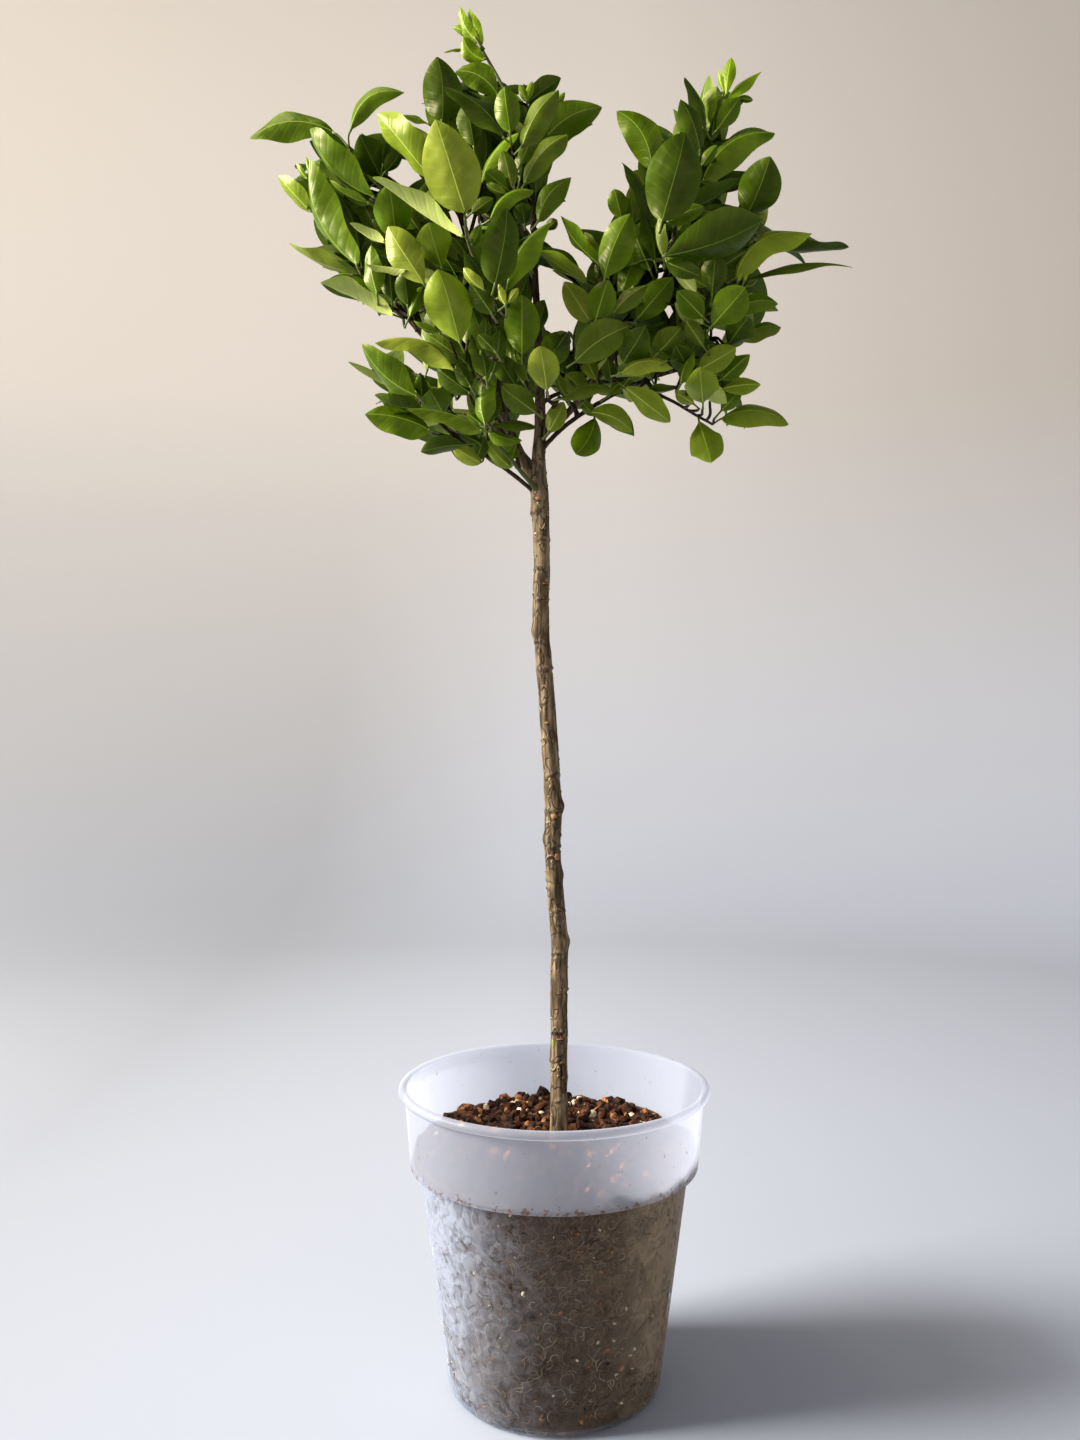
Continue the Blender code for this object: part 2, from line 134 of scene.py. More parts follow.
class Heap:
    """Collects small shapes and makes one object of them."""

    def __init__(self):
        self.points = []
        self.faces = []
        self.finishes = []
        self.places = []  # where on its own shape each point is, for patterns that follow the shape
        self.count = 0

    def add(self, points, faces, finish=0, places=None):
        finishes = finish if hasattr(finish, "__len__") else [finish] * len(faces)
        self.points.append(np.asarray(points, float))
        self.faces.extend([[corner + self.count for corner in face] for face in faces])
        self.finishes.extend(finishes)
        self.places.append(np.zeros((len(points), 2)) if places is None else places)
        self.count += len(points)

    def make(self, name, slot, materials, stands_for=(), smooth=True):
        mesh = mesh_of(name, np.concatenate(self.points), self.faces)
        for material in materials:
            mesh.materials.append(material)
        mesh.polygons.foreach_set("material_index", self.finishes)
        corner_points = np.zeros(len(mesh.loops), np.int32)
        mesh.loops.foreach_get("vertex_index", corner_points)
        places = np.concatenate(self.places)[corner_points]
        mesh.uv_layers.new(name="UVMap").data.foreach_set("uv", places.ravel().astype(np.float32))
        if smooth:
            mesh.shade_smooth()
        return show(name, mesh, stands_for)


def show(name, mesh, stands_for=()):
    """Puts a mesh in the scene as a piece of the plant."""
    piece = set_down(name, mesh)
    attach(piece, "root")
    if stands_for:
        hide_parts(*stands_for)
    print(name, "faces:", len(mesh.polygons))
    return piece


def smooth_line(marks, spacing):
    """Points about one spacing apart on a smooth curve through the marks.

    A mark may hold more than a place, such as a radius, which then changes smoothly too.
    """
    marks = np.array(marks, float)
    ends = np.vstack([2 * marks[0] - marks[1], marks, 2 * marks[-1] - marks[-2]])
    curve = []
    for i in range(len(marks) - 1):
        before, start, end, after = ends[i : i + 4]
        steps = max(1, round(np.linalg.norm((end - start)[:3]) / spacing))
        for t in np.arange(steps) / steps:
            bend = 2 * before - 5 * start + 4 * end - after
            turn = 3 * start - before - 3 * end + after
            curve.append(0.5 * (2 * start + (end - before) * t + bend * t**2 + turn * t**3))
    return np.array(curve + [marks[-1]])


def tube(line, radii, sides, relief=None):
    """Points and faces of a closed tube. relief(places, outward) gives each point some extra radius."""
    line = np.asarray(line, float)
    radii = np.broadcast_to(radii, len(line))
    ways = np.gradient(line, axis=0)
    ways /= np.linalg.norm(ways, axis=1)[:, None] + TINY
    runs_along_y = abs(ways[0][1]) > 0.9
    across = np.cross(ways[0], (1.0, 0.0, 0.0) if runs_along_y else (0.0, 1.0, 0.0))
    turns = np.arange(sides) * math.tau / sides
    rings = []
    for centre, way, radius in zip(line, ways, radii):
        across = across - way * across.dot(way)
        across /= np.linalg.norm(across)
        outward = np.outer(np.cos(turns), across) + np.outer(np.sin(turns), np.cross(way, across))
        reach = np.full(sides, radius)
        if relief is not None:
            reach = reach + relief(centre + outward * radius, outward)
        rings.append(centre + outward * reach[:, None])
    faces = []
    for ring in range(len(rings) - 1):
        for side in range(sides):
            nxt = (side + 1) % sides
            low, high = ring * sides, (ring + 1) * sides
            faces.append([low + side, low + nxt, high + nxt, high + side])
    faces.append(list(range(sides))[::-1])
    faces.append([(len(rings) - 1) * sides + side for side in range(sides)])
    return np.concatenate(rings), faces


# %% [markdown]
# ## Colours and nodes
#
# Colours are written as the sRGB hex values one would pick by eye, and turned to linear light for the
# shaders. One small function adds a node with its settings and links, so that each material reads as a
# list of what it is made of. A node's inputs are given by name or, where the order is plain, as a list.


# %% Colour and node helpers
def linear(code):
    """An sRGB hex colour as linear RGBA."""
    parts = [int(code[i : i + 2], 16) / 255 for i in (1, 3, 5)]
    return (*[p / 12.92 if p <= 0.04045 else ((p + 0.055) / 1.055) ** 2.4 for p in parts], 1.0)


def add(tree, kind, inputs=(), **settings):
    """Adds a shader node. An input is a value, a socket, or a node, which stands for its first output."""
    node = tree.nodes.new("ShaderNode" + kind)
    for name, value in settings.items():
        setattr(node, name, value)
    for name, value in inputs.items() if isinstance(inputs, dict) else enumerate(inputs):
        if isinstance(value, bpy.types.Node):
            value = value.outputs[0]
        if isinstance(value, bpy.types.NodeSocket):
            tree.links.new(value, node.inputs[name])
        else:
            node.inputs[name].default_value = value
    return node


def new_material(name):
    """An empty material and its node tree."""
    material = bpy.data.materials.new(name)
    material.use_nodes = True
    material.node_tree.nodes.clear()
    return material, material.node_tree


def finish_with(tree, shader):
    """Makes this shader the surface of the material."""
    add(tree, "OutputMaterial", {"Surface": shader})


def per_mm(size):
    """A noise scale that gives grains of about this size in mm."""
    return 1000.0 / size


def squiggles(tree, place, size_mm, width):
    """Fine curling lines: 1 on the line where a noise crosses its middle value, 0 away from it."""
    level = add(tree, "TexNoise", {"Vector": place, "Scale": per_mm(size_mm), "Detail": 1.0})
    above = add(tree, "Math", [level, 0.5], operation="SUBTRACT")
    off = add(tree, "Math", [above], operation="ABSOLUTE")
    return add(tree, "MapRange", {"Value": off, "From Max": width, "To Min": 1.0, "To Max": 0.0})


# %% [markdown]
# ## The leaf
#
# A citrus leaf is a stiff, waxy blade, dark and glossy above, paler and dull below, with a thin yellow
# midrib. Light that falls on the back of it glows through as yellow-green. The top is a Principled
# shader for the waxy skin, mixed with a Translucent one for the glow. A wave along the blade draws the
# side veins. Each tint is a material of its own, dealt out by leaf, because a pattern that ran through
# all the leaves would not survive being exported.

# %% Leaf materials
VEINS = 8  # side veins on each half of a leaf
VEIN_SLANT = 2.6  # how far they run towards the tip


def vein_pattern(tree):
    """Where the side veins are, 1 on a vein and 0 between, and how far out, 0 at the midrib to 0.5."""
    place = add(tree, "SeparateXYZ", [add(tree, "UVMap")]).outputs
    aside = add(tree, "Math", [place[0], 0.5], operation="SUBTRACT")
    across = add(tree, "Math", [aside], operation="ABSOLUTE")
    slanted = add(tree, "Math", [across, -VEIN_SLANT], operation="MULTIPLY")
    along = add(tree, "Math", [place[1], VEINS, slanted], operation="MULTIPLY_ADD")
    beat = add(tree, "Math", [along, 0.5], operation="PINGPONG")
    veins = add(tree, "MapRange", {"Value": beat, "From Min": 0.0, "From Max": 0.2,
                                   "To Min": 1.0, "To Max": 0.0})
    return veins, across


def leaf_skin(name, colour, mottle, glow, roughness, gloss, glow_share, vein_share, relief):
    """Leaf blade: a waxy or dull skin over a thin blade that lets some light through.

    The wax gives soft, yellowish highlights, and the light from behind makes the blade glow. The skin's
    real pores are too fine to show, so its grain is drawn 1.6 mm wide.
    """
    material, tree = new_material(name)
    veins, across = vein_pattern(tree)
    place = add(tree, "TexCoord").outputs["Object"]
    blotches = add(tree, "TexNoise", {"Vector": place, "Scale": per_mm(13), "Detail": 3.0})
    share = add(tree, "MapRange", {"Value": blotches, "From Min": 0.35, "From Max": 0.65})
    skin = add(tree, "MixRGB", [share, linear(colour), linear(mottle)])
    # Painted light: the blade's edges are paler, towards the glow colour; the paler veins are the leaf's
    # own.
    rim = add(tree, "MapRange", {"Value": across, "From Min": 0.25, "From Max": 0.5, "To Max": 0.3})
    pale_veins_and_lit_edges = add(tree, "Math", [veins, vein_share, rim], operation="MULTIPLY_ADD")
    skin = add(tree, "MixRGB", [pale_veins_and_lit_edges, skin, linear(glow)])
    grain = add(tree, "TexNoise", {"Vector": place, "Scale": per_mm(1.6), "Detail": 2.0})
    height = add(tree, "Math", [grain, 0.35, veins], operation="MULTIPLY_ADD")
    swells = add(tree, "TexNoise", {"Vector": place, "Scale": per_mm(11), "Detail": 1.0})
    swells = add(tree, "Bump", {"Strength": 0.55, "Distance": 2.6 * MM, "Height": swells})
    bump = add(tree, "Bump", {"Strength": relief, "Distance": 0.35 * MM, "Height": height,
                              "Normal": swells}, invert=True)
    wax = add(tree, "BsdfPrincipled", {"Base Color": skin, "Roughness": roughness,
                                       "Specular IOR Level": gloss, "Specular Tint": linear("#FFF2A4"),
                                       "Normal": bump})
    through = add(tree, "BsdfTranslucent", {"Color": linear(glow)})
    finish_with(tree, add(tree, "MixShader", [glow_share, wax, through]))
    return material


def rib_material(name, colour, mottle):
    """Midrib, petiole or green shoot: a smooth, slightly shiny skin, which gives a thin soft highlight."""
    material, tree = new_material(name)
    place = add(tree, "TexCoord").outputs["Object"]
    blotches = add(tree, "TexNoise", {"Vector": place, "Scale": per_mm(9), "Detail": 2.0})
    skin = add(tree, "MixRGB", [blotches, linear(colour), linear(mottle)])
    finish_with(tree, add(tree, "BsdfPrincipled", {"Base Color": skin, "Roughness": 0.5,
                                                   "Specular IOR Level": 0.3}))
    return material


# Top of the blade, its mottling, the light that comes through it, its under side and its midrib.
# The darkest tint and the light and pale ones are the mature leaf made darker or lighter: painted shade for
# leaves in shade, painted light for leaves in light.
TINTS = {
    "shaded": ("#2C3E04", "#3A4C08", "#5C7C0A", "#5A7030", "#687E20"),
    "mature": ("#445C08", "#52690A", "#7C9C10", "#788A3C", "#86962E"),
    "light": ("#66781A", "#788A24", "#9AB024", "#94A04E", "#A4AC50"),
    "pale": ("#748226", "#8E9A34", "#A6B832", "#A2AC58", "#B6BC5C"),
    "grey": ("#485810", "#56681A", "#76901E", "#788A40", "#8A983C"),
    "new": ("#5C7608", "#6E8A10", "#86A016", "#7A9226", "#9CB038"),
    "silver": ("#64801C", "#708A22", "#9AB424", "#B8C26C", "#CACE84"),
}
WAXY = dict(roughness=0.36, gloss=0.3, glow_share=0.22, vein_share=0.1, relief=0.2)
DULL = dict(roughness=0.6, gloss=0.12, glow_share=0.3, vein_share=0.2, relief=0.4)
LEAF_FINISHES = {}
for tint, (top, mottle, glow, under, rib) in TINTS.items():
    LEAF_FINISHES[tint] = [
        leaf_skin("leaf_top_" + tint, top, mottle, glow, **WAXY),
        leaf_skin("leaf_under_" + tint, under, under, glow, **DULL),
        rib_material("leaf_rib_" + tint, rib, glow),
    ]
print("leaf materials:", 3 * len(LEAF_FINISHES))

# %% [markdown]
# ## The shape of a blade
#
# A blade is a grid of points. Its half width follows a smooth outline that is fullest near the middle
# and runs to a point. The halves fold up from the midrib like a shallow V, the whole blade arches, and
# its edge ripples a little. The under side is a second skin a fraction of a millimetre below, with the
# midrib standing out, so each leaf is a thin solid and can have a face of its own on both sides. A flat
# card with a picture of a leaf would be lighter, but looks like paper from the side.

# %% Leaf blade
ROWS = 17
EVEN = np.linspace(0, 1, ROWS)
LENGTHWISE = 0.6 * EVEN + 0.4 * (0.5 - 0.5 * np.cos(np.pi * EVEN))  # rows lie closer at both ends
SIDEWAYS = np.array([-1.0, -0.7, -0.36, -0.1, 0.1, 0.36, 0.7, 1.0])
RIB = (3, 4)  # the columns at the edges of the midrib
RIB_HALF_WIDTH = 0.36
RIB_TAPER = 0.7  # share of its width that the midrib loses by the tip
RIB_HEIGHT = 0.55
RIB_SINK = 0.8  # share of its height that it loses by the tip
BLADE_THICKNESS = 0.35
BLUNT = 0.004  # keeps the ends of the blade from closing to nothing
FOLD_EASE = 0.4  # share of its fold that the blade loses by the tip
FOLD_CURVE = 1.6  # above 1, the halves curve up from the midrib
DROOP_FROM = 0.55  # share of the length from which the tip hangs
RIPPLES = 1.6  # waves along an edge
RIPPLE_OFFSET = 0.2  # how far the two edges' waves are out of step
TWIST_ABOUT = 0.3  # share of the length that a twist leaves level


def outline(t, belly, power):
    """Half width of the blade, as a share of the widest, at each share of its length."""
    lower = power * belly / (1 - belly)
    return (t / belly) ** lower * ((1 - t) / (1 - belly)) ** power


def blade_faces():
    """Faces of both skins of a blade, and the finish of each: 0 on top, 1 below, 2 on the midrib."""
    columns = len(SIDEWAYS)
    faces = []
    finishes = []
    for side in (0, 1):
        start = side * ROWS * columns
        for row in range(ROWS - 1):
            for column in range(columns - 1):
                corner = start + row * columns + column
                right, far = corner + 1, corner + columns + 1
                if side == 0:
                    faces.append([corner, right, far, corner + columns])
                else:
                    faces.append([corner, corner + columns, far, right])
                finishes.append(2 if column == RIB[0] else side)
    return faces, finishes


BLADE_FACES, BLADE_FINISHES = blade_faces()


def blade(foot, tip, face, width, arch=0.08, fold=0.25, bow=0.0, ripple=0.06, twist=0.0,
          belly=0.5, power=0.88, phase=0.0, droop=0.0):
    """Points of both skins and their places on the leaf. face is the way the upper side looks."""
    foot = np.asarray(foot, float)
    way = np.asarray(tip, float) - foot
    length = np.linalg.norm(way)
    way /= length
    normal = face - way * np.dot(face, way)
    normal /= np.linalg.norm(normal)
    side = np.cross(way, normal)
    t = LENGTHWISE[:, None]
    half = 0.5 * width * outline(np.clip(t, BLUNT, 1 - BLUNT), belly, power)
    s = np.repeat(SIDEWAYS[None, :], ROWS, axis=0)
    rib = np.minimum(RIB_HALF_WIDTH * (1 - RIB_TAPER * t) / half, 0.3)
    s[:, RIB[0]] = -rib[:, 0]
    s[:, RIB[1]] = rib[:, 0]
    lift = fold * (1 - FOLD_EASE * t)
    across = s * half * np.cos(lift) + bow * 4 * t * (1 - t)
    up = np.abs(s) ** FOLD_CURVE * half * np.sin(lift) + arch * length * 4 * t * (1 - t)
    up = up - droop * length * np.clip(t - DROOP_FROM, 0, 1) ** 2
    wave = np.sin(math.tau * (RIPPLES * t + phase + RIPPLE_OFFSET * np.sign(s)))
    up = up + ripple * half * s**2 * wave
    turn = twist * (t - TWIST_ABOUT)
    sideways = across * np.cos(turn) - up * np.sin(turn)
    upwards = across * np.sin(turn) + up * np.cos(turn)
    along = length * t * np.ones_like(s)
    top = foot + along[..., None] * way + sideways[..., None] * side + upwards[..., None] * normal
    depth = BLADE_THICKNESS * (1 - s**2)
    depth[:, RIB[0] : RIB[1] + 1] += RIB_HEIGHT * (1 - RIB_SINK * t)
    under = top - depth[..., None] * normal
    places = np.stack([(s + 1) / 2, t * np.ones_like(s)], axis=-1).reshape(-1, 2)
    return np.concatenate([top.reshape(-1, 3), under.reshape(-1, 3)]), np.concatenate([places, places])


print("faces in a leaf:", len(BLADE_FACES))

# %% [markdown]
# ## Limbs and twigs
#
# The trunk and the boughs follow the same lines as the solids they replace. Each is a centreline with a
# radius. Twigs are slender side branches: each starts on its parent at the nearest point to its first
# mark, and its other marks are picture points, with a depth that changes evenly along it.

# %% Lines of the limbs
# Trunk: place and radius at the soil, at each bend and at the fork, in mm.
TRUNK_MARKS = [
    (3.0, 0.0, 148.3, 6.2), (3.0, 0.0, 156, 5.5), (3.0, 0.0, 190, 5.2), (3.1, 0.5, 245, 5.2),
    (3.2, 1.0, 270, 5.1), (-0.6, 1.0, 320, 5.0), (-0.6, 0.0, 357, 5.1), (-4.5, -1.5, 418, 4.9),
    (-8.0, -1.0, 467, 4.9), (-7.4, 0.0, 504, 5.0), (-8.9, 0.0, 545, 5.4), (-9.4, 0.0, 560, 4.5),
]
# Boughs: radius at both ends and the places they pass, in mm.
BOUGHS = {
    "leader": (4.0, 1.6, [(-9.5, 0, 566), (-8.6, 0, 587), (-9, 3, 625), (-12, 5, 690), (-13, 5, 732)]),
    "left_main": (3.4, 2.0, [(-9.5, 0, 549), (-21, 3, 570), (-33, 7, 603), (-37, 8, 655), (-54, 4, 705),
                             (-66, 0, 748)]),
    "left_low": (1.4, 1.2, [(-9, 0, 543), (-24, -3, 555), (-40, -6, 566), (-56, -8, 576)]),
    "left_mid": (1.5, 0.8, [(-9.2, -2, 545), (-25, -17, 561), (-38, -36, 577), (-50, -70, 630)]),
    "left_outer": (1.6, 1.2, [(-33, 7, 604), (-50, 4, 619), (-76, 0, 637), (-92, -3, 654)]),
    "left_high": (1.7, 1.3, [(-48, 5, 690), (-64, 3, 706), (-84, 0, 722), (-94, -2, 729)]),
    "right_upper": (2.4, 1.7, [(-8.6, 1, 580), (9, 6, 596), (34, 16, 629), (51, 20, 656), (62, 14, 690),
                               (72, 6, 714)]),
    "right_low": (1.5, 1.2, [(-8.8, 0, 571), (8, -5, 586), (32, -4, 602), (56, -5, 613), (76, -7, 619)]),
    "right_mid": (1.4, 1.1, [(29, 14, 622), (36, 4, 632), (40, -8, 644)]),
    "right_outer": (1.4, 1.0, [(61, 15, 686), (80, 9, 688), (112, 2, 691), (120, 0, 692)]),
    "front_low": (1.5, 1.1, [(-8.6, 0, 584), (-4, -10, 590), (3, -30, 596)]),
    "front_right": (1.5, 1.1, [(60, 16, 684), (62, -4, 687), (65, -28, 690), (68, -58, 692)]),
    "back_low": (1.5, 1.1, [(-8.8, 2, 600), (0, 16, 609), (10, 34, 617), (16, 48, 621)]),
    "back_left_low": (1.5, 1.1, [(-8, 0, 548), (-11, 18, 563), (-27, 38, 586), (-44, 56, 604)]),
    "back_left": (1.6, 1.2, [(-36, 8, 636), (-52, 26, 652), (-72, 46, 670), (-84, 60, 679)]),
    "back_top": (1.6, 1.2, [(-11, 4, 668), (-18, 24, 690), (-28, 46, 712), (-35, 60, 726)]),
    "back_right": (1.6, 1.2, [(50, 20, 654), (60, 38, 672), (70, 56, 692), (75, 66, 700)]),
    "tip_shoot": (1.1, 0.9, [(-25, -2, 776), (-31, -1, 793), (-44, 0, 817)]),
}
# Twigs: parent, depth at the tip in mm, and the picture points they pass.
TWIGS = {
    "lu_tall": ("left_outer", -12, [(418, 333), (405, 292), (396, 252), (389, 229), (381, 216), (371, 199),
                                    (359, 175), (349, 148)]),
    "lu_end": ("left_high", 6, [(400, 192), (391, 183), (384, 174)]),
    "lu_shoot": ("left_main", -10, [(465, 235), (458, 214), (445, 197), (434, 182)]),
    "lu_outer": ("left_outer", -4, [(403, 314), (382, 301), (361, 275), (354, 262), (347, 238), (334, 207),
                                    (314, 182)]),
    "lm_in": ("left_main", 2, [(494, 300), (474, 286), (456, 275), (445, 269)]),
    "lm_up": ("left_outer", -14, [(440, 350), (436, 322), (430, 300), (426, 287)]),
    "ll_end": ("left_low", -16, [(462, 446), (447, 436), (432, 433)]),
    "ll_rise": ("left_low", -22, [(466, 448), (450, 432), (435, 418), (423, 405), (418, 399)]),
    "ll_mid": ("left_mid", -46, [(484, 420), (477, 409), (470, 396), (466, 384)]),
    "ll_fork": ("left_mid", -14, [(520, 466), (517, 455), (516, 440)]),
    "fc_main": ("left_mid", -92, [(467, 322), (484, 308), (490, 294), (482, 274), (473, 255), (467, 238),
                                  (465, 217)]),
    "fl_up": ("front_low", -34, [(556, 405), (548, 400), (547, 393)]),
    "fl_left": ("leader", -16, [(538, 400), (528, 386), (523, 360)]),
    "top_stem": ("leader", -14, [(533, 262), (522, 222), (514, 196), (515, 168), (510, 145), (508, 135)]),
    "top_end": ("leader", -6, [(533, 194), (535, 165), (536, 145), (531, 126), (527, 106)]),
    "top_back": ("left_main", 10, [(468, 240), (476, 212), (481, 190), (482, 176), (475, 150)]),
    "top_left_end": ("left_main", -4, [(447, 163), (442, 143), (441, 124)]),
    "tip_base": ("top_stem", -2, [(511, 150), (514, 132), (513, 116)]),
    "tip_end": ("tip_shoot", 0, [(482, 51), (478, 42), (474, 36)]),
    "rm_up": ("right_mid", -30, [(619, 329), (611, 308), (605, 290), (601, 271)]),
    "rm_side": ("right_mid", -14, [(619, 329), (606, 325), (594, 322)]),
    "rm_back": ("right_upper", -2, [(640, 312), (632, 280), (626, 250), (623, 224)]),
    "rm_low": ("right_upper", -16, [(600, 374), (588, 368), (577, 362)]),
    "ru_stem": ("right_upper", 0, [(669, 226), (683, 211), (698, 173), (708, 140), (716, 112), (722, 98)]),
    "ru_side": ("ru_stem", -10, [(683, 211), (705, 214), (728, 218), (746, 216)]),
    "ru_left": ("right_upper", -6, [(652, 266), (652, 235), (650, 205), (648, 172)]),
    "fr_up": ("front_right", -74, [(674, 216), (668, 220), (663, 223)]),
    "fr_low": ("front_right", -80, [(674, 216), (674, 238), (666, 254)]),
    "ro_fork": ("right_outer", -2, [(697, 262), (716, 270), (732, 279), (743, 282)]),
    "ro_end": ("right_outer", 2, [(749, 254), (764, 252), (777, 250)]),
    "rl_dark": ("right_low", -16, [(646, 381), (657, 393), (676, 403), (694, 414), (712, 424)]),
    "rl_rise": ("right_low", -4, [(678, 370), (700, 360), (710, 342), (711, 323)]),
    "rl_top": ("rl_rise", 2, [(711, 323), (708, 308), (711, 297)]),
    "rc_up": ("right_low", -10, [(580, 420), (574, 406), (566, 399)]),
}
LINE_STEP = 2.0  # mm between points of a limb's line
TAPER = 1.6  # above 1, a limb loses most of its thickness near its foot


def limb_radii(foot_radius, tip_radius, count):
    """The radius at each point of a limb's line."""
    return tip_radius + (foot_radius - tip_radius) * (1 - np.linspace(0, 1, count)) ** TAPER


limb_lines = {name: smooth_line(route, LINE_STEP) for name, (foot, tip, route) in BOUGHS.items()}


def nearest_mark(line, u, v):
    """The point of a line that shows nearest to a picture point."""
    away = np.linalg.norm(shown(line) - (u, v), axis=1)
    return line[int(away.argmin())]


for name, (parent, tip_depth, marks) in TWIGS.items():
    start = nearest_mark(limb_lines[parent], *marks[0])
    depths = start[1] + (tip_depth - start[1]) * np.linspace(0, 1, len(marks))[1:]
    places = [seen(u, v, depth) for (u, v), depth in zip(marks[1:], depths)]
    limb_lines[name] = smooth_line([start, *places], LINE_STEP)
print("limbs and twigs:", len(limb_lines))

# %% [markdown]
# ## Where the leaves are
#
# The leaves that show from the front are placed one by one, spray by spray, because the head is loose
# and every leaf counts. Each row gives the foot and the tip of the blade and its breadth as they show,
# its tint, and how far it bows sideways. How far the blade leans or rolls follows from these: a blade
# that shows too broad for its length leans towards the eye, and one that shows narrow is seen edgewise.

# %% Sprays
# A leaf's tint also paints light and shade on it: the darkest tint for leaves in shade, the light and pale
# ones for leaves in light.
SHADED, MATURE, LIT, MOST_LIT, GREY, NEW, UNDER = "shaded", "mature", "light", "pale", "grey", "new", "silver"
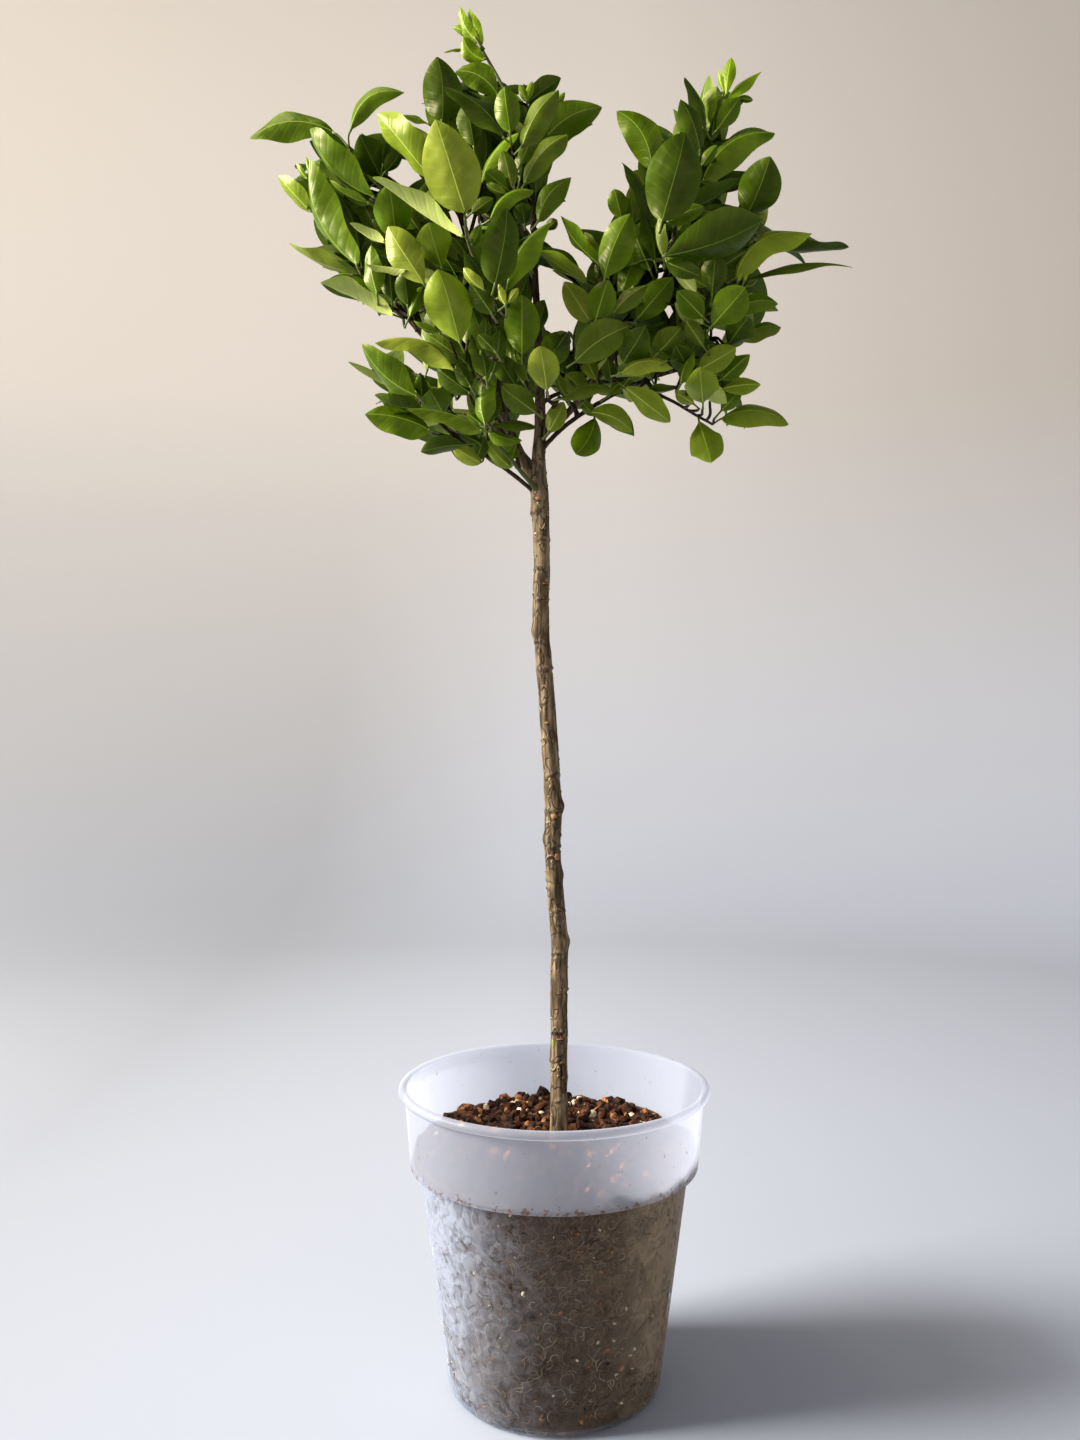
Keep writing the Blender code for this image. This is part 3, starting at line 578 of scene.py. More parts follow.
# Each spray: the limbs its leaves may grow from, and (foot, tip, breadth, tint, bow, lift) for each leaf.
# Bow is a sideways bend in picture points, lift brings the leaf forward by so many mm.
SPRAYS = {
    "left_upper": (("lu_tall", "lu_end", "lu_shoot", "left_high", "left_main"), [
        (334, 132, 249, 136, 32, MATURE, -7, 0), (350, 130, 404, 92, 22, MATURE, 10, 0),
        (374, 197, 309, 130, 30, MATURE, 0, 8), (381, 177, 360, 135, 33, SHADED, 0, -4),
        (383, 165, 390, 135, 9, SHADED, 0, -2), (385, 172, 406, 141, 16, SHADED, 0, -4),
        (433, 180, 376, 114, 32, LIT, -6, 6), (463, 236, 375, 175, 20, UNDER, -4, 26),
        (340, 185, 324, 154, 24, SHADED, 0, -6), (369, 203, 329, 181, 8, MATURE, 0, 10),
        (369, 204, 340, 182, 18, SHADED, 0, 0), (429, 124, 402, 115, 8, MATURE, 0, -4),
        (396, 240, 389, 185, 38, MATURE, 0, 4), (385, 242, 351, 222, 11, UNDER, 0, 12),
        (392, 222, 396, 186, 22, MATURE, 0, -8), (375, 228, 360, 196, 20, SHADED, 0, -6),
    ]),
    "left_middle": (("lu_outer", "left_outer", "lm_up", "lm_in"), [
        (311, 212, 277, 176, 17, LIT, -3, 4), (307, 179, 296, 163, 6, NEW, 0, 0),
        (311, 176, 306, 157, 5, NEW, 0, 0), (357, 265, 305, 160, 32, MATURE, 3, 8),
        (360, 258, 328, 183, 30, SHADED, 0, -2), (354, 275, 288, 246, 17, MOST_LIT, -3, 4),
        (353, 275, 338, 274, 6, GREY, 0, 0), (394, 315, 321, 282, 21, UNDER, -5, 4),
        (424, 284, 387, 226, 35, MOST_LIT, 0, 8), (442, 268, 429, 224, 36, LIT, 0, 4),
        (406, 271, 366, 265, 8, UNDER, 2, 10), (377, 294, 370, 245, 22, MATURE, 0, 2),
        (409, 318, 423, 286, 16, MATURE, 0, 0), (392, 300, 388, 262, 20, SHADED, 0, -2),
        (372, 270, 372, 232, 22, SHADED, 0, -8), (408, 306, 404, 272, 22, SHADED, 0, 0),
        (463, 272, 433, 264, 14, SHADED, 0, 2), (426, 240, 404, 208, 22, SHADED, 0, -8),
    ]),
    "left_low": (("ll_rise", "ll_end", "ll_mid", "left_low"), [
        (454, 370, 376, 340, 22, MOST_LIT, -6, 4), (417, 396, 361, 345, 29, MATURE, 0, 4),
        (417, 394, 349, 361, 12, UNDER, 0, -2), (430, 430, 365, 414, 29, MATURE, 0, 2),
        (422, 409, 374, 397, 16, SHADED, -3, 0), (482, 431, 407, 409, 16, GREY, 0, 10),
        (465, 445, 421, 453, 18, SHADED, -5, 2), (481, 463, 452, 447, 18, MOST_LIT, 0, 0),
        (445, 417, 430, 391, 32, MATURE, 0, -4), (422, 400, 420, 372, 14, SHADED, 0, -6),
        (470, 393, 436, 367, 24, SHADED, 0, 0), (465, 361, 428, 335, 24, GREY, 0, -6),
        (476, 462, 484, 437, 16, SHADED, 0, -2), (455, 392, 462, 362, 20, SHADED, 0, -4),
        (440, 333, 413, 322, 9, MATURE, 0, 0), (480, 443, 460, 433, 12, SHADED, 0, -2),
        (481, 424, 467, 413, 10, MATURE, 0, 2), (471, 387, 456, 363, 16, SHADED, 0, 2),
    ]),
    "fork": (("ll_fork", "left_mid"), [
        (511, 468, 486, 441, 18, LIT, 0, -4), (488, 429, 522, 440, 14, MATURE, -6, 2),
        (516, 446, 512, 458, 12, MATURE, 0, 0), (491, 426, 536, 426, 12, GREY, 0, -18),
        (485, 425, 485, 373, 22, MATURE, 0, 6), (488, 424, 497, 392, 18, SHADED, 0, -4),
    ]),
    "front_centre": (("fc_main", "left_mid"), [
        (465, 212, 435, 118, 57, MOST_LIT, 0, 0), (460, 343, 438, 269, 47, LIT, 0, 4),
        (495, 284, 507, 208, 37, SHADED, 0, 6), (506, 291, 548, 221, 25, MATURE, 0, 0),
        (480, 330, 470, 288, 30, SHADED, 0, -14), (496, 316, 486, 280, 24, SHADED, 0, -10),
        (470, 262, 452, 236, 14, SHADED, 0, -16), (500, 320, 530, 262, 26, SHADED, 0, -16),
        (470, 300, 450, 268, 22, SHADED, 0, -14), (468, 345, 480, 300, 24, SHADED, 0, -6),
        (491, 297, 464, 252, 18, SHADED, 0, 2), (484, 290, 463, 268, 13, MOST_LIT, 0, 3),
        (472, 246, 481, 224, 12, MATURE, 0, -6), (492, 314, 470, 283, 22, SHADED, 0, 4),
        (506, 306, 498, 284, 9, MOST_LIT, 0, 6), (507, 304, 518, 288, 9, MOST_LIT, 0, 6),
        (486, 378, 473, 338, 18, SHADED, 0, 8), (492, 374, 500, 330, 20, SHADED, 0, 0),
        (481, 352, 486, 318, 16, SHADED, 0, 6), (476, 300, 486, 262, 18, SHADED, 0, -16),
        (484, 344, 470, 306, 20, SHADED, 0, 2), (496, 352, 478, 334, 14, SHADED, 0, 10),
    ]),
    "centre_low": (("fl_up", "fl_left", "front_low", "leader"), [
        (522, 354, 522, 295, 36, MATURE, 0, 8), (547, 390, 540, 347, 32, MOST_LIT, 0, 10),
        (536, 413, 502, 387, 27, GREY, 0, 14), (555, 350, 567, 333, 18, SHADED, 0, 0),
        (525, 372, 508, 330, 24, SHADED, 0, -2), (545, 372, 562, 332, 30, MATURE, 0, -6),
        (518, 376, 497, 344, 24, MATURE, 0, -8), (549, 432, 564, 402, 20, MOST_LIT, 0, 6),
        (528, 340, 545, 300, 20, SHADED, 0, -4), (502, 360, 478, 330, 26, SHADED, 0, -14),
        (524, 383, 510, 347, 15, GREY, 0, 2), (516, 386, 497, 355, 24, SHADED, 0, 0),
        (500, 354, 495, 325, 20, SHADED, 0, 2), (515, 356, 506, 322, 18, SHADED, 0, -2),
    ]),
    "top": (("top_stem", "top_end", "top_back", "top_left_end", "leader"), [
        (442, 121, 437, 56, 40, SHADED, -3, 0), (498, 95, 456, 71, 29, MATURE, -7, 0),
        (504, 138, 444, 86, 27, SHADED, -4, 10), (510, 132, 504, 86, 26, MATURE, 0, 14),
        (527, 102, 519, 84, 8, NEW, 0, 0), (527, 102, 532, 81, 8, NEW, 0, 0),
        (527, 103, 561, 78, 20, SHADED, 3, 0), (522, 146, 558, 88, 27, GREY, 0, 8),
        (551, 113, 565, 92, 9, NEW, 0, -2), (539, 147, 602, 107, 37, MATURE, 8, 0),
        (524, 185, 567, 134, 25, GREY, 3, 8), (538, 222, 571, 177, 25, MATURE, 4, 4),
        (520, 165, 530, 140, 14, GREY, 0, 0), (481, 184, 518, 132, 12, NEW, 3, 6),
        (474, 147, 467, 100, 28, SHADED, 0, 4), (483, 172, 484, 126, 20, SHADED, 0, -6),
        (512, 187, 503, 150, 19, GREY, 0, 4), (508, 190, 486, 172, 20, MATURE, 0, 0),
        (472, 213, 493, 198, 16, GREY, 0, -4), (490, 220, 533, 189, 16, MATURE, 4, 6),
        (525, 225, 522, 204, 20, SHADED, 0, 0), (545, 230, 557, 220, 12, GREY, 0, -4),
        (520, 180, 524, 150, 16, SHADED, 0, -4), (508, 194, 486, 184, 10, GREY, 0, 2),
    ]),
    "tip_tuft": (("tip_end", "tip_shoot"), [
        (480, 43, 460, 7, 14, NEW, 4, 0), (482, 44, 467, 9, 12, NEW, -1, 0),
        (485, 60, 463, 37, 19, NEW, 5, 2), (477, 42, 452, 27, 11, NEW, -3, -2),
        (466, 49, 444, 52, 4, GREY, 0, 0),
    ]),
    "right_middle": (("rm_up", "rm_side", "rm_back", "rm_low", "right_mid"), [
        (586, 283, 537, 251, 17, LIT, -3, 0), (599, 264, 560, 217, 17, MATURE, 0, 0),
        (601, 262, 583, 233, 14, MOST_LIT, 0, -6), (604, 280, 630, 213, 34, MATURE, 0, 6),
        (622, 220, 614, 189, 20, MATURE, 0, 0), (590, 321, 564, 281, 26, MOST_LIT, 0, 2),
        (595, 322, 608, 280, 29, MATURE, 0, 6), (613, 313, 648, 284, 20, GREY, 0, 0),
        (637, 319, 673, 277, 30, MATURE, 0, 0), (635, 323, 667, 322, 10, SHADED, -5, 4),
        (575, 362, 630, 326, 38, GREY, 5, 8), (623, 363, 645, 327, 32, SHADED, 0, 4),
        (651, 360, 681, 328, 28, GREY, 0, 0), (620, 300, 640, 250, 24, MATURE, 0, -8),
        (630, 300, 650, 262, 22, SHADED, 0, -10), (600, 350, 612, 322, 24, SHADED, 0, -4),
    ]),
    "right_upper": (("ru_stem", "ru_side", "ru_left", "right_upper"), [
        (652, 168, 617, 110, 36, MATURE, -9, 0), (652, 222, 624, 161, 15, SHADED, 0, 0),
        (706, 130, 685, 77, 15, SHADED, 0, 6), (703, 142, 708, 75, 23, MATURE, 0, 0),
        (700, 151, 681, 99, 24, SHADED, 0, 2), (726, 96, 731, 57, 14, NEW, 0, 0),
        (724, 92, 718, 70, 7, NEW, 0, 4), (723, 106, 761, 71, 12, NEW, 0, 0),
        (739, 98, 753, 100, 8, MATURE, 0, -2), (717, 130, 740, 97, 20, MATURE, 0, 4),
        (706, 112, 722, 96, 14, MATURE, 0, -4), (702, 182, 774, 130, 28, MATURE, 5, 0),
        (702, 165, 717, 145, 12, MATURE, 0, 0), (685, 211, 739, 180, 19, SHADED, 3, 2),
        (747, 214, 770, 157, 42, SHADED, -2, 0), (680, 236, 722, 206, 14, SHADED, 3, -8),
        (690, 150, 692, 112, 18, SHADED, 0, -6), (668, 222, 653, 174, 26, SHADED, 0, -10),
        (712, 140, 716, 108, 16, MATURE, 0, -4), (660, 200, 644, 150, 24, SHADED, 0, -12),
        (655, 262, 641, 208, 18, SHADED, 0, 2), (650, 270, 634, 232, 22, SHADED, 0, 0),
        (664, 258, 659, 214, 12, GREY, 0, 6), (672, 240, 690, 216, 14, MATURE, 0, -4),
    ]),
    "front_right": (("fr_up", "fr_low", "front_right"), [
        (662, 221, 686, 131, 55, SHADED, 0, 0), (664, 256, 763, 221, 48, SHADED, 3, 0),
        (668, 222, 704, 206, 18, MATURE, 0, -6), (666, 262, 700, 276, 20, SHADED, 0, -4),
        (672, 248, 690, 250, 22, SHADED, 0, -8),
    ]),
    "right_outer": (("ro_fork", "ro_end", "right_outer"), [
        (736, 278, 811, 231, 29, LIT, 9, 6), (772, 251, 849, 249, 14, SHADED, 4, 0),
        (749, 279, 852, 265, 11, GREY, 3, 0), (745, 287, 758, 279, 6, SHADED, 0, 0),
        (738, 282, 742, 272, 5, NEW, 0, 2), (744, 282, 748, 273, 4, NEW, 0, 2),
        (706, 286, 664, 256, 22, LIT, 0, 0), (697, 292, 675, 265, 16, UNDER, 0, 6),
        (720, 268, 748, 250, 20, SHADED, 0, -6),
    ]),
    "right_low": (("rl_rise", "rl_top", "rl_dark", "right_low"), [
        (712, 296, 716, 252, 27, SHADED, 0, 6), (712, 326, 745, 288, 36, MATURE, 0, 8),
        (735, 311, 778, 303, 20, MATURE, 4, 0), (739, 343, 781, 326, 17, GREY, 2, 0),
        (728, 345, 748, 318, 30, SHADED, 0, 0), (704, 318, 677, 291, 26, MATURE, 0, 4),
        (704, 324, 675, 303, 20, UNDER, 0, 0), (703, 346, 686, 320, 18, GREY, 0, 2),
        (699, 370, 736, 348, 25, LIT, 0, 4), (722, 379, 750, 354, 19, MATURE, 0, 2),
        (666, 361, 706, 330, 6, SHADED, -4, 4), (681, 384, 694, 351, 12, MATURE, 0, 6),
        (703, 403, 700, 368, 35, LIT, 0, 8), (697, 388, 727, 403, 18, UNDER, 3, 14),
        (722, 389, 761, 384, 18, LIT, 0, 4), (721, 411, 738, 393, 16, MATURE, 0, 0),
        (722, 418, 789, 423, 24, LIT, 4, 2), (699, 421, 711, 461, 35, LIT, 0, 4),
        (625, 387, 670, 422, 26, LIT, 2, 6), (622, 388, 636, 400, 12, UNDER, 0, 2),
        (620, 374, 673, 367, 17, MOST_LIT, 4, 8), (688, 384, 684, 364, 16, SHADED, 0, -4),
        (694, 404, 676, 392, 14, MOST_LIT, 0, 0), (690, 372, 676, 346, 26, SHADED, 0, -2),
        (716, 372, 708, 346, 24, SHADED, 0, -4), (652, 380, 640, 352, 22, MATURE, 0, -4),
    ]),
    "right_centre": (("rc_up", "right_low", "right_upper"), [
        (562, 399, 613, 391, 16, GREY, 4, 10), (595, 418, 577, 453, 30, MATURE, 3, 4),
        (590, 412, 632, 432, 22, LIT, 7, 4), (595, 416, 582, 402, 12, NEW, 0, 2),
        (597, 381, 585, 357, 16, LIT, 0, 0), (590, 396, 566, 374, 24, LIT, 0, -4),
        (612, 384, 608, 360, 16, SHADED, 0, -4), (630, 378, 650, 360, 14, LIT, 0, 0),
        (574, 386, 567, 350, 13, SHADED, 0, -4), (566, 396, 556, 372, 11, GREY, 0, 0),
        (608, 396, 633, 380, 12, MATURE, 2, 2), (646, 392, 680, 388, 10, SHADED, 2, 0),
    ]),
}
print("leaves placed by eye:", sum(len(rows) for limbs, rows in SPRAYS.values()))

# %% [markdown]
# ## Growing a leaf on its twig
#
# A leaf hangs by a short green stalk, the petiole. Where its foot lies too far from any twig for a
# petiole to reach, a short side twig grows first. Leaves, petioles and twigs go to separate heaps, one
# for each tint or kind.

# %% Grow leaves
SEED = 7
dice = random.Random(SEED)
BROADEST = 0.6  # breadth of the broadest blades as a share of their length
COMMON_BREADTH = 0.5
NEW_BREADTH = 0.38
TO_WINDOW = np.array([-0.93, -0.1, 0.35])
LEAST_SHARE = 0.42  # a blade never turns more edgewise than this share of its breadth
MOST_LEAN = 34.0  # mm that a tip may lie nearer than the foot
PETIOLE = 9.0
FAR = 1.5 * PETIOLE  # a foot further than this from the wood gets a side twig
JOINT = 0.8 * PETIOLE  # how far from the foot that twig ends
TWIG_TIP = 0.75  # mm, radius at the tip of a thin twig
STALK_RADIUS, STALK_FLARE = 0.55, 0.25  # a petiole is thicker at both ends
FIT_TRIES = 3
WIDTH_STEP = (0.75, 1.3)  # least and most that one try changes a blade's width by
BOW_STEP = 6  # mm, the most that one try changes its bow by
LOBES = [((455, 265), (170, 205)), ((675, 265), (140, 195))]  # middle and reach of both halves of the head
DOME = 62.0  # mm that the leaves in the middle of a half stand forward of those at its edge
FADE_DEPTH = 100.0  # mm in front of the stem by which the wood itself stands in the dome's place
LIFT_SCALE = 2.0
PLACED_SHAPE = {  # least and most of each, as `blade` takes them
    "arch": (0.03, 0.1), "fold": (0.38, 0.75), "ripple": (0.08, 0.2), "twist": (-0.4, 0.4),
    "belly": (0.43, 0.57), "power": (0.68, 0.92), "phase": (0, 1), "droop": (0.0, 0.25),
}
leaf_heaps = {tint: Heap() for tint in TINTS}
petioles = Heap()
twigs = Heap()
shoots = Heap()
leaf_middles = []
CELL = 6  # picture points to a cell of the cover map
# The cover map holds the depth of the nearest leaf in each cell.
cover = np.full((VIEW_HEIGHT // CELL, VIEW_WIDTH // CELL), np.inf)


def chosen(limits):
    """A random value between each pair of limits."""
    return {name: dice.uniform(*ends) for name, ends in limits.items()}


def turned(way, axis, angle):
    """way turned about a unit axis."""
    return (way * math.cos(angle) + np.cross(axis, way) * math.sin(angle)
            + axis * np.dot(axis, way) * (1 - math.cos(angle)))


def unit(way):
    return way / (np.linalg.norm(way) + TINY)


def curve_between(start, start_way, end, end_way, steps):
    """A smooth curve that leaves start along start_way and reaches end along end_way."""
    reach = np.linalg.norm(end - start) * 0.4
    first = start + unit(start_way) * reach
    last = end - unit(end_way) * reach
    t = np.linspace(0, 1, steps)[:, None]
    return start * (1 - t) ** 3 + first * 3 * t * (1 - t) ** 2 + last * 3 * t**2 * (1 - t) + end * t**3


def mark_cover(points):
    """Notes on the cover map that a leaf hides what lies behind it."""
    grid = points[: ROWS * len(SIDEWAYS)].reshape(ROWS, -1, 3)
    middles = (grid[1:, 1:] + grid[:-1, :-1]) / 2
    places = np.concatenate([grid.reshape(-1, 3), middles.reshape(-1, 3)])
    cells = (shown(places) / CELL).astype(int)
    for (column, row), place in zip(cells, places):
        if 0 <= row < cover.shape[0] and 0 <= column < cover.shape[1]:
            cover[row, column] = min(cover[row, column], place[1])


def hidden_share(places, slack=2.0):
    """The share of these places that lie behind leaves already set."""
    cells = (shown(places) / CELL).astype(int)
    rows = np.clip(cells[:, 1], 0, cover.shape[0] - 1)
    columns = np.clip(cells[:, 0], 0, cover.shape[1] - 1)
    return float((places[:, 1] > cover[rows, columns] + slack).mean())


def grow_petiole(wood, wood_way, foot, way):
    """A stalk from the wood to the blade's foot, on a side twig if that is far."""
    gap = foot - wood
    distance = np.linalg.norm(gap)
    if distance > FAR:
        joint = foot - unit(unit(gap) + way) * JOINT
        line = curve_between(wood, unit(gap) + wood_way * 0.3, joint, gap, 10)
        twigs.add(*tube(line, np.linspace(1.0, TWIG_TIP, len(line)), 7))
        wood = joint
        wood_way = gap
    gap = unit(foot + way - wood)
    line = curve_between(wood, gap + unit(wood_way) * 0.2, foot + way, gap + way, 7)
    radii = STALK_RADIUS + STALK_FLARE * np.abs(np.linspace(-1, 1, 7)) ** 3
    petioles.add(*tube(line, radii, 6))


def grow_leaf(tint, foot, tip, face, width, **shape):
    """Adds a blade to the heap of its tint."""
    points, places = blade(foot, tip, face, width, **shape)
    leaf_heaps[tint].add(points, BLADE_FACES, BLADE_FINISHES, places)
    leaf_middles.append((np.asarray(foot) + tip) / 2)
    return points


def seen_shape(foot_uv, tip_uv, breadth, tint, depth):
    """Foot, tip, facing and width of a blade that shows as given."""
    scale = (depth - EYE[1]) / FOCAL_PX
    shows_long = math.dist(foot_uv, tip_uv) * scale
    shows_wide = breadth * scale
    length = max(shows_long, shows_wide / BROADEST)
    lean = min(MOST_LEAN, math.sqrt(max(0.0, length**2 - shows_long**2)))
    foot = seen(*foot_uv, depth)
    tip = seen(*tip_uv, depth - lean)
    way = unit(tip - foot)
    to_eye = EYE - (foot + tip) / 2
    to_eye = unit(to_eye - way * np.dot(to_eye, way))
    common = length * (NEW_BREADTH if tint == NEW else COMMON_BREADTH)
    share = min(1.0, max(LEAST_SHARE, shows_wide / common))
    roll = math.acos(share)
    facing = -to_eye if tint == UNDER else to_eye
    choices = [turned(facing, way, roll), turned(facing, way, -roll)]
    lit = -1 if tint in (UNDER, SHADED) else 1
    face = max(choices, key=lambda choice: lit * choice.dot(TO_WINDOW))
    return foot, tip, face, shows_wide / share, share


def fit_to_view(foot, tip, face, width, share, breadth, bow, shape):
    """Width and sideways bend, in mm, with which the blade shows as broad and as bowed as asked."""
    start, end = shown(np.array([foot, tip]))
    way = (end - start) / np.linalg.norm(end - start)
    left = np.array([way[1], -way[0]])
    side = np.cross(unit(tip - foot), face)
    shift = shown(np.array([foot, foot + side]))
    across_share = (shift[1] - shift[0]).dot(left)
    bend = 0.0
    for attempt in range(FIT_TRIES):
        points = blade(foot, tip, face, width, bow=bend, **shape)[0]
        away = (shown(points) - start).dot(left)
        width *= np.clip(breadth / (away.max() - away.min()), *WIDTH_STEP)
        middle = (away.max() + away.min()) / 2
        change = (bow - middle) / (across_share + 0.2 * np.sign(across_share))
        bend += np.clip(change, -BOW_STEP, BOW_STEP)
    return width, bend


def dome(u, v):
    """How far forward a leaf at (u, v) stands: the head is round, so the middle of each half is nearest."""
    rises = [1 - ((u - x) / wide) ** 2 - ((v - y) / tall) ** 2 for (x, y), (wide, tall) in LOBES]
    return DOME * max(0.0, *rises)


for limbs, rows in SPRAYS.values():
    wood_line = np.concatenate([limb_lines[limb] for limb in limbs])
    wood_ways = np.concatenate([np.gradient(limb_lines[limb], axis=0) for limb in limbs])
    for foot_u, foot_v, tip_u, tip_v, breadth, tint, bow, lift in rows:
        near = int(np.linalg.norm(shown(wood_line) - (foot_u, foot_v), axis=1).argmin())
        wood = wood_line[near]
        fade = max(0.0, 1 + wood[1] / FADE_DEPTH)
        forward = dome((foot_u + tip_u) / 2, (foot_v + tip_v) / 2) * fade
        depth = wood[1] - LIFT_SCALE * lift - forward
        foot, tip, face, width, share = seen_shape((foot_u, foot_v), (tip_u, tip_v), breadth, tint, depth)
        shape = chosen(PLACED_SHAPE)
        shape["fold"] *= 1 if tint == UNDER else -1
        width, bend = fit_to_view(foot, tip, face, width, share, breadth, bow, shape)
        points = grow_leaf(tint, foot, tip, face, width, bow=bend, **shape)
        mark_cover(points)
        grow_petiole(wood, unit(wood_ways[near]), foot, unit(tip - foot))
print("leaves so far:", len(leaf_middles))

# %% [markdown]
# ## The rest of the head
#
# Seen from the front the head is done, but it would be flat from the side. Shoots now grow from the
# ends of the boughs into every mass of foliage, with their leaves set round them at the golden angle.
# A shoot or a leaf stays only where the leaves already set hide it from the front, so the gaps through
# which the sky shows stay open.

# %% Grow the depth of the head
GOLDEN_ANGLE = math.radians(137.5)
LEAF_SPACING = 9.0
MASSES = [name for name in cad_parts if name.startswith("foliage_")]
WOODY_BOUGHS = [name for name in BOUGHS if name != "tip_shoot"]  # the tip shoot is still green
ENDS_IN = {  # the mass that a bough ends in, where it isn't named like the bough
    "leader": "top", "left_main": "top_left", "left_mid": "front_centre", "left_outer": "left_middle",
    "left_high": "left_upper", "right_mid": "right_middle", "front_low": "centre_low",
}
SHOOTS_TRIED = 100
SHOOT_ARCH, SHOOT_WANDER = 4.0, 4.0  # mm that a shoot's middle lies above and aside of a straight line
BARE_FOOT = (0.2, 0.35)  # share of a shoot without leaves
ALONG_SHOOT = (0.4, 1.1)  # how far a leaf points along its shoot, to 1 outwards
UP = np.array([0, 0, 1.0])
START_MARKS = 12  # shoots start from this many points at the end of a bough
FREE_ROOM = 9.0  # least distance between the middles of two leaves
HIDDEN_SHOOT, HIDDEN_LEAF = 0.95, 0.97  # share that has to be hidden from the front
GROWN_SHAPE = {
    "arch": (0.04, 0.12), "fold": (0.16, 0.36), "ripple": (0.04, 0.1), "twist": (-0.4, 0.4),
    "belly": (0.44, 0.56), "phase": (0, 1), "droop": (0.0, 0.3),
}
GROWN_LENGTH = (36, 54)
GROWN_BREADTH = (0.44, 0.56)  # share of the length
GROWN_TINTS = ["shaded", "shaded", "mature", "mature", "grey", "pale"]
BOX_LOW, BOX_HIGH = (np.array(corner) / MM for corner in cad_box)
BOX_SLACK = 2  # mm


def in_crown(points):
    """Whether the points stay inside the box of the solids."""
    return bool((points > BOX_LOW - BOX_SLACK).all() and (points < BOX_HIGH + BOX_SLACK).all())


def random_way():
    """A random unit direction."""
    while True:
        way = np.array([dice.uniform(-1, 1) for axis in range(3)])
        if 0.1 < np.linalg.norm(way) < 1:
            return unit(way)


def grow_shoot(start, goal):
    """A shoot from the bough towards a goal, and the leaves round it that are hidden from the front."""
    rise = (start + goal) / 2 + UP * SHOOT_ARCH + random_way() * SHOOT_WANDER
    line = smooth_line([start, rise, goal], LINE_STEP)
    if hidden_share(line[3:]) < HIDDEN_SHOOT:
        return 0
    ways = np.gradient(line, axis=0)
    grown = 0
    turn = dice.uniform(0, math.tau)
    reach = np.linalg.norm(goal - start)
    at = dice.uniform(*BARE_FOOT) * reach
    while at < reach:
        index = min(len(line) - 1, round(at / LINE_STEP))
        wood, way = line[index], unit(ways[index])
        side = unit(np.cross(way, random_way()))
        out = unit(turned(side, way, turn) + way * dice.uniform(*ALONG_SHOOT) + UP * 0.15)
        turn += GOLDEN_ANGLE
        at += LEAF_SPACING * dice.uniform(0.6, 1.3)
        foot = wood + out * PETIOLE * dice.uniform(0.7, 1.1)
        length = dice.uniform(*GROWN_LENGTH)
        tip = foot + out * length
        face = unit(way + UP * 0.8 + random_way() * 0.5)
        shape = chosen(GROWN_SHAPE)
        width = length * dice.uniform(*GROWN_BREADTH)
        points = blade(foot, tip, face, width, **shape)[0]
        middle = (foot + tip) / 2
        crowded = min(np.linalg.norm(np.array(leaf_middles) - middle, axis=1)) < FREE_ROOM
        if crowded or hidden_share(points) < HIDDEN_LEAF or not in_crown(points):
            continue
        tint = dice.choice(GROWN_TINTS)
        grow_leaf(tint, foot, tip, face, width, **shape)
        grow_petiole(wood, way, foot, out)
        grown += 1
        last = index
    if grown:
        line = line[: max(last + 1, 3)]
        twigs.add(*tube(line, np.linspace(1.15, TWIG_TIP, len(line)), 7))
    return grown


filled = 0
for bough in WOODY_BOUGHS:
    mass = ENDS_IN.get(bough, bough)
    low, high = (np.array(corner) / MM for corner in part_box("foliage_" + mass))
    middle, half = (low + high) / 2, (high - low) / 2
    start_line = limb_lines[bough][-START_MARKS:]
    for attempt in range(SHOOTS_TRIED):
        goal = middle + random_way() * half * dice.uniform(0.35, 0.85)
        start = start_line[dice.randrange(len(start_line))]
        filled += grow_shoot(start, goal)
print("leaves in the depth of the head:", filled)

# %% [markdown]
# ## Twigs and petioles
#
# Young citrus wood is dark brown and slightly ridged, and this year's growth is still green. Petioles
# are yellow-green. All are swept tubes that taper towards their tips. Bevelled curves could make them
# too, but tubes built point by point go into one mesh with all the others.


# %% Twig pieces
NOWHERE = 9.0  # metres, far above the plant


